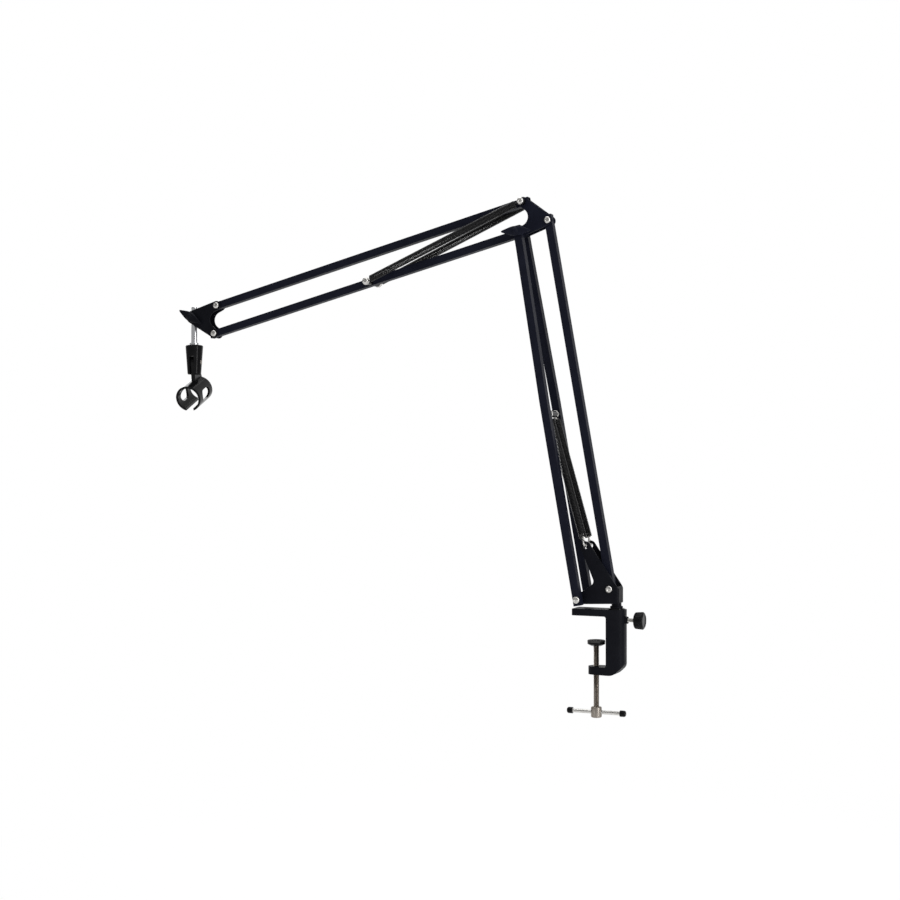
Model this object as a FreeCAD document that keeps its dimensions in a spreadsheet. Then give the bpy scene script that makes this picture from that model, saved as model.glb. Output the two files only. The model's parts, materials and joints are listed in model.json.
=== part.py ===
import FreeCAD, Part
import math
import os

from FreeCAD import Placement, Rotation, Vector

os.makedirs("parts", exist_ok=True)
doc = FreeCAD.newDocument("boom_arm")

# Driving dimensions, in millimetres and degrees
sizes = {
    # bars and the four-bar links
    "bar_length": 380.0,
    "bar_width": 8.0,
    "bar_wall": 1.0,
    "bar_end": 6.0,
    "lower_angle": 100.1,
    "upper_angle": 194.0,
    "base_run": 30.2,
    "base_rise": 10.9,
    "link_run": 3.1,
    "link_rise": 31.2,
    "apex_run": 29.4,
    "apex_rise": 19.4,
    "splay_flat": 16.0,
    "splay_end": 12.0,
    # link plates
    "plate_thick": 1.2,
    "lobe_radius": 5.2,
    "apex_radius": 7.0,
    "bite_radius": 9.2,
    "bite_shift": 2.0,
    # clearances
    "side_gap": 0.3,
    "turn_gap": 0.05,
    "open_gap": 0.2,
    "overrun": 5.0,
    # fasteners
    "pin_radius": 2.0,
    "head_radius": 3.6,
    "head_height": 2.4,
    "head_round": 1.2,
    "nut_radius": 3.9,
    "nut_height": 3.0,
    "pin_tail": 1.0,
    "wing_pin_radius": 2.5,
    "wing_hub_radius": 4.8,
    "wing_hub_height": 6.5,
    "wing_span": 31.0,
    "wing_leaf_radius": 5.3,
    "wing_tip_radius": 1.1,
    "wing_thick": 3.4,
    "wing_lift": 1.6,
    "elbow_wing_turn": 0.0,
    "head_wing_turn": -29.0,
    # clamp
    "clamp_width": 20.0,
    "jaw_reach": 23.5,
    "jaw_thick": 7.0,
    "jaw_corner": 3.0,
    "throat": 13.0,
    "throat_round": 2.0,
    "spine_depth": 18.0,
    "spine_round": 8.0,
    "opening": 51.0,
    "lower_jaw_thick": 8.0,
    "lower_nose_radius": 8.0,
    "lower_sweep": 11.0,
    "boss_radius": 3.6,
    "boss_length": 2.2,
    # clamp screw
    "screw_radius": 3.0,
    "desk_thick": 25.0,
    "screw_length": 61.0,
    "spigot_radius": 2.0,
    "spigot_height": 2.4,
    "screw_head_radius": 5.5,
    "screw_head_height": 11.0,
    "tommy_radius": 2.0,
    "tommy_length": 58.0,
    "tommy_cap_radius": 3.2,
    "tommy_cap_length": 4.0,
    "press_radius": 9.0,
    "press_thick": 3.6,
    "pad_thick": 2.0,
    # post and lock screw
    "post_radius": 5.0,
    "post_drop": 42.0,
    "post_floor": 2.0,
    "post_stand": 5.0,
    "shoulder_radius": 6.4,
    "shoulder_height": 2.0,
    "rivet_radius": 2.2,
    "rivet_head_radius": 3.1,
    "rivet_head_height": 1.2,
    "bush_wall": 1.5,
    "bush_flange": 1.5,
    "bush_flange_thick": 1.2,
    "lock_drop": 1.5,
    "lock_radius": 2.0,
    "lock_reach": 7.0,
    "knob_radius": 9.0,
    "knob_length": 10.0,
    "knob_taper": 0.8,
    "knob_round": 1.2,
    # base bracket
    "cheek_width": 18.4,
    "sheet": 1.6,
    "wall_reach": 9.8,
    "wall_rise": 1.4,
    "bend_radius": 3.0,
    "foot_drop": 3.5,
    "floor_front": 10.0,
    "front_spacer": 3.8,
    "spacer_radius": 4.2,
    "horn_run": 5.3,
    "horn_rise": 53.0,
    "horn_tip_radius": 5.2,
    "horn_hole_radius": 2.5,
    "horn_notch_radius": 5.0,
    "sheet_corner": 1.5,
    # springs
    "spring_pin_radius": 2.0,
    "lower_spring_along": 190.0,
    "lower_spring_half": 8.4,
    "lower_coil_radius": 3.4,
    "upper_spring_along": 178.0,
    "upper_spring_half": 14.0,
    "elbow_spring_half": 11.0,
    "upper_coil_radius": 3.1,
    "wire_radius": 0.6,
    "hook_radius": 0.8,
    "plug_length": 5.0,
    "hook_shank": 2.2,
    "elbow_shank": 3.0,
    # head stud and clip
    "stud_radius": 3.5,
    "stud_top": 12.0,
    "stud_reach": 42.0,
    "eye_radius": 6.0,
    "stud_thread": 13.0,
    "collar_radius": 5.3,
    "collar_height": 2.3,
    "socket_radius": 10.0,
    "socket_tip_radius": 7.6,
    "socket_length": 33.5,
    "socket_round": 1.5,
    "insert_radius": 6.0,
    "insert_length": 11.0,
    "clip_pivot_below": 22.0,
    "clip_pin_radius": 1.6,
    "clip_pin_head_radius": 2.8,
    "clip_pin_head_height": 1.6,
    "lug_width": 4.6,
    "lug_radius": 6.4,
    "fork_depth": 21.0,
    "clip_bore_radius": 12.0,
    "clip_wall": 2.6,
    "clip_length": 38.0,
    "clip_drop": 33.3,
    "clip_forward": 12.5,
    "clip_mouth": 8.7,
    "clip_window_length": 22.0,
    "clip_window_height": 12.5,
    "clip_window_drop": 0.2,
    "clip_turn": 11.0,
    "clip_tilt": 20.5,
}
spring_curls = 25
seam_turn = 50
notch_run_share = 0.71
notch_rise_share = 0.69

sheet = doc.addObject("Spreadsheet::Sheet", "Sizes")
for row, (alias, value) in enumerate(sizes.items(), start=1):
    sheet.set(f"A{row}", alias)
    sheet.set(f"B{row}", str(value))
    sheet.setAlias(f"B{row}", alias)
doc.recompute()


class Values:
    def __getattr__(self, alias):
        return float(sheet.get(alias))


size = Values()
made = []


# Small geometry helpers

def along(angle, length):
    turn = math.radians(angle)
    return Vector(length * math.cos(turn), 0, length * math.sin(turn))


def upright(direction):
    return Rotation(Vector(0, 0, 1), direction)


def at(point, y=0.0):
    return Vector(point.x, y, point.z)


def ring_tangents(circles):
    """Tangent points of a closed belt round (x, y, radius) circles; a negative radius is a bite."""
    ends = []
    for (ax, ay, ar), (bx, by, br) in zip(circles, circles[1:] + circles[:1]):
        run = Vector(bx - ax, by - ay, 0)
        unit = run / run.Length
        side = Vector(unit.y, -unit.x, 0)
        lean = (ar - br) / run.Length
        normal = side * math.sqrt(1 - lean * lean) + unit * lean
        ends.append((Vector(ax, ay, 0) + normal * ar, Vector(bx, by, 0) + normal * br))
    return ends


def belt(circles):
    """Lines and arcs of a belt round circles, anticlockwise."""
    ends = ring_tangents(circles)
    curves = []
    for index, (x, y, radius) in enumerate(circles):
        arrive, leave = ends[index - 1][1], ends[index][0]
        centre = Vector(x, y, 0)
        first = math.atan2(arrive.y - y, arrive.x - x)
        last = math.atan2(leave.y - y, leave.x - x)
        sweep = (last - first) % (2 * math.pi)
        if radius < 0:
            sweep -= 2 * math.pi
        middle = first + sweep / 2
        bulge = Vector(math.cos(middle), math.sin(middle), 0) * abs(radius)
        curves.append(Part.Arc(arrive, centre + bulge, leave))
        curves.append(Part.LineSegment(leave, ends[index][1]))
    return curves


def rounded(corners):
    """Lines and arcs of a polygon whose (x, y, radius) corners are rounded."""
    curves = []
    points = [Vector(x, y, 0) for x, y, radius in corners]
    joints = []
    for index, (x, y, radius) in enumerate(corners):
        here = points[index]
        back = (points[index - 1] - here).normalize()
        ahead = (points[(index + 1) % len(points)] - here).normalize()
        half = back.getAngle(ahead) / 2
        reach = radius / math.tan(half)
        middle = here + (back + ahead).normalize() * (radius / math.sin(half) - radius)
        joints.append((here + back * reach, middle, here + ahead * reach))
        if radius > 0:
            curves.append(Part.Arc(*joints[-1]))
    for index, joint in enumerate(joints):
        curves.append(Part.LineSegment(joints[index - 1][2], joint[0]))
    return curves


def box_outline(left, low, right, high):
    return rounded([(left, low, 0), (right, low, 0), (right, high, 0), (left, high, 0)])


def circle(x, y, radius):
    return Part.Circle(Vector(x, y, 0), Vector(0, 0, 1), radius)


# Document helpers

def body(label, placement=None):
    made_body = doc.addObject("PartDesign::Body", label)
    made_body.Label = label
    if placement:
        made_body.Placement = placement
    made.append(made_body)
    return made_body


def sketch(owner, plane, curves):
    drawn = owner.newObject("Sketcher::SketchObject", "Sketch")
    origin = [face for face in owner.Origin.OriginFeatures if face.Role == plane]
    drawn.AttachmentSupport = [(origin[0], "")]
    drawn.MapMode = "FlatFace"
    drawn.addGeometry(curves, False)
    return drawn


def pad(owner, plane, curves, length, both=False, back=False):
    feature = owner.newObject("PartDesign::Pad", "Pad")
    feature.Profile = sketch(owner, plane, curves)
    feature.setExpression("Length", length)
    feature.Midplane = both
    feature.Reversed = back
    doc.recompute()
    return feature


def pocket(owner, plane, curves, length=None, both=False, back=False):
    before = owner.Shape.Volume
    feature = owner.newObject("PartDesign::Pocket", "Pocket")
    feature.Profile = sketch(owner, plane, curves)
    if length:
        feature.setExpression("Length", length)
    else:
        feature.Type = "ThroughAll"
    feature.Midplane = both
    feature.Reversed = back
    doc.recompute()
    if owner.Shape.Volume >= before:
        raise RuntimeError(f"a cut in {owner.Label} takes nothing away")
    return feature


def turned(label, outline, base, direction):
    """A solid of revolution from its (radius, height) outline, stood along a direction."""
    owner = body(label, Placement(base, upright(direction)))
    feature = owner.newObject("PartDesign::Revolution", "Revolution")
    curves = outline
    if not hasattr(outline[0], "StartPoint"):
        curves = rounded([(radius, height, 0) for radius, height in outline])
    profile = sketch(owner, "XZ_Plane", curves)
    feature.Profile = profile
    feature.ReferenceAxis = (profile, ["V_Axis"])
    doc.recompute()
    return owner


def group(label, solids):
    """One node that holds several separate solids made by other objects."""
    doc.recompute()
    feature = doc.addObject("Part::Compound", label)
    feature.Label = label
    feature.Links = solids
    for solid in solids:
        if solid in made:
            made.remove(solid)
    made.append(feature)
    return feature


def drill(owner, places, radius):
    """Holes across a bar or plate, square to its local XZ plane."""
    pocket(owner, "XZ_Plane", [circle(x, y, radius) for x, y in places], both=True)


# Places of the pivots, with the clamp screw on the Z axis and the desk seat at Z = 0

clamp_top = size.jaw_thick
post_place = Vector(size.throat + size.spine_depth / 2 - size.bush_wall / 2, 0, clamp_top)
foot = clamp_top + size.bush_flange_thick + size.post_stand
base_front = Vector(post_place.x - size.base_run - size.post_radius, 0, foot + size.foot_drop)
base_rear = base_front + Vector(size.base_run, 0, size.base_rise)
horn = base_front + Vector(size.horn_run, 0, size.horn_rise)
lower_reach = along(size.lower_angle, size.bar_length)
upper_reach = along(size.upper_angle, size.bar_length)
link = Vector(size.link_run, 0, size.link_rise)
elbow_low = base_front + lower_reach
elbow_rear = base_rear + lower_reach
elbow_top = elbow_low + link
head_low = elbow_low + upper_reach
head_top = elbow_top + upper_reach
apex = head_low + Vector(-size.apex_run, 0, size.apex_rise)
lower_spring = base_front + along(size.lower_angle, size.lower_spring_along)
upper_spring = elbow_low + along(size.upper_angle, size.upper_spring_along)

# Half widths of the stack across the arm

bar_half = size.bar_width / 2
plate_inner = bar_half + size.side_gap
plate_outer = plate_inner + size.plate_thick
cheek_outer = size.cheek_width / 2
cheek_inner = cheek_outer - size.sheet
elbow_bar = plate_outer + size.side_gap + bar_half
base_bar = cheek_outer + size.front_spacer + size.side_gap + bar_half
base_bar_outer = base_bar + bar_half
elbow_bar_outer = elbow_bar + bar_half
near = Vector(0, -1, 0)
far = Vector(0, 1, 0)
up = Vector(0, 0, 1)


# Fasteners

def bolt(label, place, head_seat, tail_end, radius, side=near):
    """A round-headed bolt along Y, from its head's seat on one side to its tail on the other."""
    length = head_seat + tail_end
    outline = rounded([
        (0, -length, 0),
        (radius, -length, 0),
        (radius, 0, 0),
        (size.head_radius, 0, 0),
        (size.head_radius, size.head_height, size.head_round),
        (0, size.head_height, 0),
    ])
    return turned(label, outline, place + side * head_seat, side)


def hexagon(radius):
    corners = []
    for step in range(6):
        turn = math.radians(60 * step)
        corners.append((radius * math.cos(turn), radius * math.sin(turn), 0))
    return rounded(corners)


def nut(label, place, seat):
    """A hexagon nut on the far side of a bolt."""
    owner = body(label, Placement(at(place, seat), upright(far)))
    pad(owner, "XY_Plane", hexagon(size.nut_radius) + [circle(0, 0, size.pin_radius)], "Sizes.nut_height")
    return owner


def spacers(label, place, inner, outer, bore, radius):
    """A near and a far tube round one bolt."""
    pair = []
    for name, side in (("near", near), ("far", far)):
        outline = [(bore, inner), (radius, inner), (radius, outer), (bore, outer)]
        pair.append(turned(f"{label}_{name}", outline, at(place), side))
    return group(label, pair)


def wing_nut(label, place, seat, turn):
    """A hub with a leaf-shaped grip across it, on the near side of a bolt."""
    owner = body(label, Placement(place + near * seat, Rotation(near, turn) * upright(near)))
    pad(owner, "XY_Plane", [circle(0, 0, size.wing_hub_radius)], "Sizes.wing_hub_height")
    tip = size.wing_span / 2 - size.wing_tip_radius
    middle = (0, 0, size.wing_leaf_radius)
    ends = [(hand * tip, 0, size.wing_tip_radius) for hand in (1, -1)]
    leaf = pad(owner, "XY_Plane", belt([ends[0], middle, ends[1], middle]), "Sizes.wing_thick")
    leaf.Profile[0].AttachmentOffset = Placement(Vector(0, 0, size.wing_lift), Rotation())
    bore = size.wing_pin_radius + size.turn_gap
    doc.recompute()
    pocket(owner, "XY_Plane", [circle(0, 0, bore)], "Sizes.wing_hub_height + Sizes.overrun", back=True)
    return owner


# Bars

def bar(label, start, angle, holes):
    """A square tube in the middle plane, drilled at (distance, radius) holes."""
    turn = Rotation(Vector(0, 1, 0), 90 - angle)
    owner = body(label, Placement(start, turn))
    inner = bar_half - size.bar_wall
    outline = box_outline(-bar_half, -bar_half, bar_half, bar_half)
    pad(owner, "XY_Plane", outline + box_outline(-inner, -inner, inner, inner),
        "Sizes.bar_length + Sizes.bar_end")
    tail = pad(owner, "XY_Plane", outline + box_outline(-inner, -inner, inner, inner),
               "Sizes.bar_end", back=True)
    owner.Tip = tail
    for distance, radius in holes:
        drill(owner, [(0, distance)], radius)
    return owner


def splayed(half, side):
    """The outline of a bar that runs wide at the base and closes in at the elbow."""
    wide, close = base_bar, elbow_bar
    low, high = -size.bar_end, size.bar_length + size.bar_end
    bend = size.lower_spring_along + size.splay_end
    flat = size.bar_length - size.splay_flat
    inner = [(wide - half, low), (wide - half, bend), (close - half, flat), (close - half, high)]
    outer = [(close + half, high), (close + half, flat), (wide + half, bend), (wide + half, low)]
    return rounded([(side * y, z, 0) for y, z in inner + outer])


def front_bar(label, side):
    turn = Rotation(Vector(0, 1, 0), 90 - size.lower_angle)
    owner = body(label, Placement(base_front, turn))
    pad(owner, "YZ_Plane", splayed(bar_half, side), "Sizes.bar_width", both=True)
    pocket(owner, "YZ_Plane", splayed(bar_half - size.bar_wall, side),
           "Sizes.bar_width - 2 * Sizes.bar_wall", both=True)
    drill(owner, [(0, 0)], size.pin_radius + size.turn_gap)
    pin = pocket(owner, "XZ_Plane", [circle(0, size.lower_spring_along, size.spring_pin_radius)], both=True)
    if side < 0:
        pin.Type = "Length"
        pin.Midplane = False
        pin.setExpression("Length", "Sizes.bar_width")
        shifted(pin, base_bar)
    drill(owner, [(0, size.bar_length)], size.wing_pin_radius + size.turn_gap)
    return owner


# Clamp

lock_height = clamp_top - size.lock_drop - size.knob_radius
spine_back = size.throat + size.spine_depth
bush_radius = size.post_radius + size.turn_gap + size.bush_wall


def shifted(feature, offset):
    """Moves a feature's sketch along its plane's normal."""
    feature.Profile[0].AttachmentOffset = Placement(Vector(0, 0, offset), Rotation())
    doc.recompute()
    return feature


def clamp_frame():
    owner = body("clamp_frame")
    low = -size.opening
    bottom = low - size.lower_jaw_thick
    half = size.clamp_width / 2
    out = size.overrun
    pad(owner, "XZ_Plane", rounded([
        (-size.jaw_reach, 0, 0),
        (size.throat, 0, size.throat_round),
        (size.throat, low, size.throat_round),
        (-size.lower_nose_radius, low, 0),
        (-size.lower_nose_radius, bottom, 0),
        (spine_back - size.lower_sweep, bottom, size.lower_sweep),
        (spine_back, low + size.throat_round, size.lower_sweep),
        (spine_back, clamp_top, 0),
        (-size.jaw_reach, clamp_top, size.jaw_thick / 4),
    ]), "Sizes.clamp_width", both=True)
    plan = rounded([
        (-size.jaw_reach, -half, size.jaw_corner),
        (spine_back, -half, size.spine_round),
        (spine_back, half, size.spine_round),
        (-size.jaw_reach, half, size.jaw_corner),
    ])
    around = box_outline(-size.jaw_reach - out, -half - out, spine_back + out, half + out)
    pocket(owner, "XY_Plane", around + plan, both=True)
    edge = half - size.jaw_corner
    nose = belt([
        (0, 0, size.lower_nose_radius),
        (size.throat, -edge, size.jaw_corner),
        (spine_back, -edge, size.jaw_corner),
        (spine_back, edge, size.jaw_corner),
        (size.throat, edge, size.jaw_corner),
    ])
    around = box_outline(-size.jaw_reach - out, -half - out, spine_back + size.spine_round, half + out)
    cut = pocket(owner, "XY_Plane", around + nose, "Sizes.opening + Sizes.lower_jaw_thick")
    shifted(cut, low / 2)
    boss = pad(owner, "YZ_Plane", [circle(0, lock_height, size.boss_radius)],
               "Sizes.spine_depth / 4 + Sizes.boss_length")
    shifted(boss, spine_back - size.spine_depth / 4)
    pocket(owner, "XY_Plane", [circle(0, 0, size.screw_radius + size.turn_gap)])
    shifted(pocket(owner, "XY_Plane", [circle(post_place.x, 0, bush_radius)], "Sizes.post_drop"), clamp_top)
    stud = [circle(0, lock_height, size.lock_radius + size.turn_gap)]
    shifted(pocket(owner, "YZ_Plane", stud, "Sizes.spine_depth + Sizes.overrun", back=True), post_place.x)
    return owner


def post_bush():
    """A flanged sleeve in the clamp, pierced for the lock screw."""
    bore = size.post_radius + size.turn_gap
    flange = size.bush_flange_thick
    owner = turned("post_bush", [
        (bore, size.post_floor - size.post_drop),
        (bush_radius, size.post_floor - size.post_drop),
        (bush_radius, 0),
        (bush_radius + size.bush_flange, 0),
        (bush_radius + size.bush_flange, flange),
        (bore, flange),
    ], post_place, up)
    hole = [circle(0, lock_height - clamp_top, size.lock_radius + size.turn_gap)]
    pocket(owner, "YZ_Plane", hole, "Sizes.post_radius * 2", back=True)
    return owner


def lock_screw():
    start = post_place.x + size.post_radius + size.side_gap
    knob_start = spine_back + size.boss_length + size.lock_reach
    grip = size.knob_length / 2
    turned("lock_stud", [
        (0, 0),
        (size.lock_radius, 0),
        (size.lock_radius, knob_start + grip - start),
        (0, knob_start + grip - start),
    ], Vector(start, 0, lock_height), Vector(1, 0, 0))
    turned("lock_knob", rounded([
        (0, grip, 0),
        (size.lock_radius, grip, 0),
        (size.lock_radius, 0, 0),
        (size.knob_radius - size.knob_taper, 0, size.knob_round),
        (size.knob_radius, size.knob_length, size.knob_round),
        (0, size.knob_length, 0),
    ]), Vector(knob_start, 0, lock_height), Vector(1, 0, 0))


def clamp_screw():
    """The pressure plate with its pad, the screw below it and the sliding bar through its head."""
    plate_low = -size.desk_thick - size.pad_thick - size.press_thick
    socket = size.spigot_height + size.side_gap
    turned("pressure_pad", [
        (0, 0),
        (size.press_radius, 0),
        (size.press_radius, size.pad_thick),
        (0, size.pad_thick),
    ], Vector(0, 0, -size.desk_thick - size.pad_thick), up)
    turned("pressure_plate", rounded([
        (0, socket, 0),
        (size.spigot_radius + size.turn_gap, socket, 0),
        (size.spigot_radius + size.turn_gap, 0, 0),
        (size.screw_head_radius, 0, 0),
        (size.press_radius, size.press_thick / 2, 0),
        (size.press_radius, size.press_thick, 0),
        (0, size.press_thick, 0),
    ]), Vector(0, 0, plate_low), up)
    screw_top = plate_low - size.side_gap
    screw = turned("clamp_screw", rounded([
        (0, -size.screw_length - size.screw_head_height, 0),
        (size.screw_head_radius, -size.screw_length - size.screw_head_height, size.head_round),
        (size.screw_head_radius, -size.screw_length, size.head_round),
        (size.screw_radius, -size.screw_length, 0),
        (size.screw_radius, 0, 0),
        (size.spigot_radius, 0, 0),
        (size.spigot_radius, size.spigot_height, size.spigot_radius / 4),
        (0, size.spigot_height, 0),
    ]), Vector(0, 0, screw_top), up)
    bar_drop = size.screw_length + size.screw_head_height / 2
    pocket(screw, "YZ_Plane", [circle(0, -bar_drop, size.tommy_radius + size.turn_gap)], both=True)
    half = size.tommy_length / 2
    middle = Vector(0, 0, screw_top - bar_drop)
    turned("tommy_bar", [
        (0, -half),
        (size.tommy_radius, -half),
        (size.tommy_radius, half),
        (0, half),
    ], middle, Vector(1, 0, 0))
    caps = []
    for name, side in (("left", -1), ("right", 1)):
        outline = rounded([
            (0, half, 0),
            (size.tommy_radius, half, 0),
            (size.tommy_radius, half - size.tommy_cap_length, 0),
            (size.tommy_cap_radius, half - size.tommy_cap_length, 0),
            (size.tommy_cap_radius, half + size.tommy_radius, size.tommy_radius),
            (0, half + size.tommy_radius, 0),
        ])
        caps.append(turned(f"tommy_cap_{name}", outline, middle, Vector(side, 0, 0)))
    group("tommy_caps", caps)


# Base

wall_back = base_rear.x + size.wall_reach


def swivel_post():
    stand = size.bush_flange_thick + size.turn_gap
    floor = foot - clamp_top
    return turned("swivel_post", rounded([
        (0, 2 * size.post_floor - size.post_drop, 0),
        (size.post_radius, 2 * size.post_floor - size.post_drop, size.post_floor / 2),
        (size.post_radius, stand, 0),
        (size.shoulder_radius, stand, 0),
        (size.shoulder_radius, stand + size.shoulder_height, 0),
        (size.post_radius, stand + size.shoulder_height, 0),
        (size.post_radius, floor, 0),
        (size.rivet_radius, floor, 0),
        (size.rivet_radius, floor + size.sheet, 0),
        (size.rivet_head_radius, floor + size.sheet, 0),
        (size.rivet_head_radius, floor + size.sheet + size.rivet_head_height, 0),
        (0, floor + size.sheet + size.rivet_head_height, 0),
    ]), post_place, up)


def base_bracket():
    """A bent sheet: two cheeks with spring horns, a back wall and a floor for the post."""
    owner = body("base_bracket")
    corner = size.sheet_corner
    notch = base_rear + Vector(-notch_run_share * size.base_run, 0, notch_rise_share * size.base_rise)
    pad(owner, "XZ_Plane", belt([
        (base_front.x, base_front.z, size.lobe_radius),
        (wall_back - corner, foot + corner, corner),
        (wall_back - corner, base_rear.z + size.wall_rise - corner, corner),
        (horn.x, horn.z, size.horn_tip_radius),
        (notch.x, notch.z, -size.horn_notch_radius),
    ]), "Sizes.cheek_width", both=True)
    left = base_front.x - size.lobe_radius - size.overrun
    low = foot - size.lobe_radius - size.overrun
    high = horn.z + size.horn_tip_radius + size.overrun
    floor = foot + size.sheet
    step = post_place.x - size.floor_front
    inside = wall_back - size.sheet
    pocket(owner, "XZ_Plane", rounded([
        (left, low, 0),
        (step, low, 0),
        (step, floor, 0),
        (inside, floor, 0),
        (inside, high, 0),
        (left, high, 0),
    ]), "Sizes.cheek_width - 2 * Sizes.sheet", both=True)
    half = cheek_outer
    out = size.overrun
    pocket(owner, "XZ_Plane", box_outline(step - out, low, wall_back + out, foot),
           "Sizes.cheek_width - 2 * Sizes.sheet", both=True)
    plan = rounded([
        (left, -half, 0),
        (wall_back, -half, size.bend_radius),
        (wall_back, half, size.bend_radius),
        (left, half, 0),
    ])
    around = box_outline(left - out, -half - out, wall_back + out, half + out)
    pocket(owner, "XY_Plane", around + plan, both=True)
    pocket(owner, "XY_Plane", [circle(post_place.x, 0, size.rivet_radius)],
           "Sizes.jaw_thick + Sizes.bush_flange_thick + Sizes.post_stand + 2 * Sizes.sheet", back=True)
    pin = size.pin_radius
    drill(owner, [(base_front.x, base_front.z)], pin)
    drill(owner, [(base_rear.x, base_rear.z)], pin)
    drill(owner, [(horn.x, horn.z)], size.horn_hole_radius)
    return owner


# Link plates

def link_plates(name, corners, bite, holes):
    """A near and a far plate from their corner circles, a bite and drilled holes."""
    outline = belt(corners + [(bite.x, bite.z, -size.bite_radius)])
    for label, start in (("near", -plate_inner), ("far", plate_outer)):
        owner = body(f"{name}_{label}_plate", Placement(Vector(0, start, 0), Rotation()))
        pad(owner, "XZ_Plane", outline, "Sizes.plate_thick")
        for place, radius in holes:
            drill(owner, [(place.x, place.z)], radius)


def elbow_plates():
    middle = (elbow_low + elbow_top) / 2
    lobes = [(elbow_low, size.lobe_radius), (elbow_rear, size.lobe_radius), (elbow_top, size.lobe_radius)]
    link_plates("elbow", [(place.x, place.z, radius) for place, radius in lobes],
                middle - Vector(size.bite_shift, 0, 0),
                [(elbow_low, size.wing_pin_radius), (elbow_rear, size.pin_radius), (elbow_top, size.pin_radius)])


def head_plates():
    middle = (head_low + head_top) / 2
    lobes = [(head_top, size.lobe_radius), (apex, size.apex_radius), (head_low, size.lobe_radius)]
    link_plates("head", [(place.x, place.z, radius) for place, radius in lobes],
                middle + Vector(size.bite_shift, 0, 0),
                [(head_low, size.pin_radius), (head_top, size.pin_radius), (apex, size.wing_pin_radius)])


# Springs

def biarc(start, leave, end, arrive):
    """Two arcs from start to end that keep both tangents."""
    run = end - start
    both = leave + arrive
    flat = 2 * (1 - leave.dot(arrive))
    pull = run.dot(both)
    reach = (math.sqrt(pull * pull + flat * run.dot(run)) - pull) / flat
    first, last = start + leave * reach, end - arrive * reach
    middle = (first + last) / 2
    arcs = []
    for a, corner, b in ((start, first, middle), (middle, last, end)):
        chord = (a + b) / 2
        turn = (corner - a).getAngle(b - a)
        lift = math.tan(turn / 2) / math.tan(turn)
        arcs.append(Part.Arc(a, chord + (corner - chord) * lift, b).toShape())
    return arcs


def helix_point(axis, side, up_side, start, radius, pitch, turn):
    round_part = side * math.cos(turn) + up_side * math.sin(turn)
    place = start + axis * (pitch * turn / (2 * math.pi)) + round_part * radius
    tangent = (up_side * math.cos(turn) - side * math.sin(turn)) * radius + axis * (pitch / (2 * math.pi))
    return place, tangent.normalize()


def coil(label, start, end, radius):
    """One unbroken wire wound from start to end."""
    axis = (end - start).normalize()
    side = axis.cross(far).normalize()
    up_side = axis.cross(side)
    pitch = (end - start).Length / spring_curls
    arcs = []
    halves = [math.pi * step for step in range(2 * spring_curls + 1)]
    marks = [helix_point(axis, side, up_side, start, radius, pitch, turn) for turn in halves]
    for (a, leave), (b, arrive) in zip(marks, marks[1:]):
        arcs.extend(biarc(a, leave, b, arrive))
    path = Part.Wire(arcs)
    ring = Part.Wire(Part.Circle(marks[0][0], marks[0][1], size.wire_radius).toShape())
    wire = doc.addObject("Part::Feature", label)
    wire.Label = label
    wire.Shape = path.makePipeShell([ring], True, False)
    made.append(wire)
    return path


def least_gap(path, label):
    """The least space between one curl's wire and the next, measured on points."""
    points = path.discretize(Number=24 * spring_curls)
    turn = len(points) // spring_curls
    gap = min(
        (a - b).Length
        for index, a in enumerate(points)
        for b in points[index + turn // 2:index + 2 * turn]
    ) - 2 * size.wire_radius
    print(f"{label} least gap to itself {gap:.2f} mm")


def joined(label, solids):
    fuse = doc.addObject("Part::MultiFuse", label)
    fuse.Label = label
    fuse.Shapes = solids
    made.append(fuse)
    return fuse


def rod(label, start, direction, radius, length):
    made_rod = doc.addObject("Part::Cylinder", label)
    made_rod.setExpression("Radius", radius)
    made_rod.Height = length
    made_rod.Placement = Placement(start, upright(direction))
    return made_rod


def hook(label, eye, direction, eye_axis, eye_radius, plug_radius, reach):
    """An eye of wire, its shank and the plug that the coil is wound on."""
    loop = doc.addObject("Part::Torus", f"{label}_eye")
    loop.Radius1 = eye_radius
    loop.setExpression("Radius2", "Sizes.hook_radius")
    loop.Placement = Placement(eye, upright(eye_axis) * Rotation(Vector(0, 0, 1), seam_turn))
    shank = rod(f"{label}_shank", eye + direction * eye_radius, direction, "Sizes.hook_radius", reach)
    plug = rod(f"{label}_plug", eye + direction * reach, direction, plug_radius, size.plug_length)
    return joined(label, [loop, shank, plug])


def spring(name, side, start, end, start_eye, end_eye, radius, plug_radius):
    """A coil between two hooks; each eye is its centre, its axis, its radius and its shank."""
    hooks = []
    direction = (end_eye[0] - start_eye[0]).normalize()
    for place, eye, run in ((start, start_eye, direction), (end, end_eye, -direction)):
        reach = eye[2] + eye[3]
        hooks.append(hook(f"{name}_{side}_{place}_hook", eye[0], run, eye[1], eye[2], plug_radius, reach))
    first = start_eye[0] + direction * (start_eye[2] + start_eye[3] + size.wire_radius)
    last = end_eye[0] - direction * (end_eye[2] + end_eye[3] + size.wire_radius)
    least_gap(coil(f"{name}_{side}_spring", first, last, radius), f"{name}_{side}_spring")
    return hooks


pin_eye_radius = size.spring_pin_radius + size.turn_gap + 2 * size.hook_radius - size.hook_radius / 2
horn_eye_radius = (size.horn_tip_radius + size.hook_radius + size.side_gap) / 2


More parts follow.
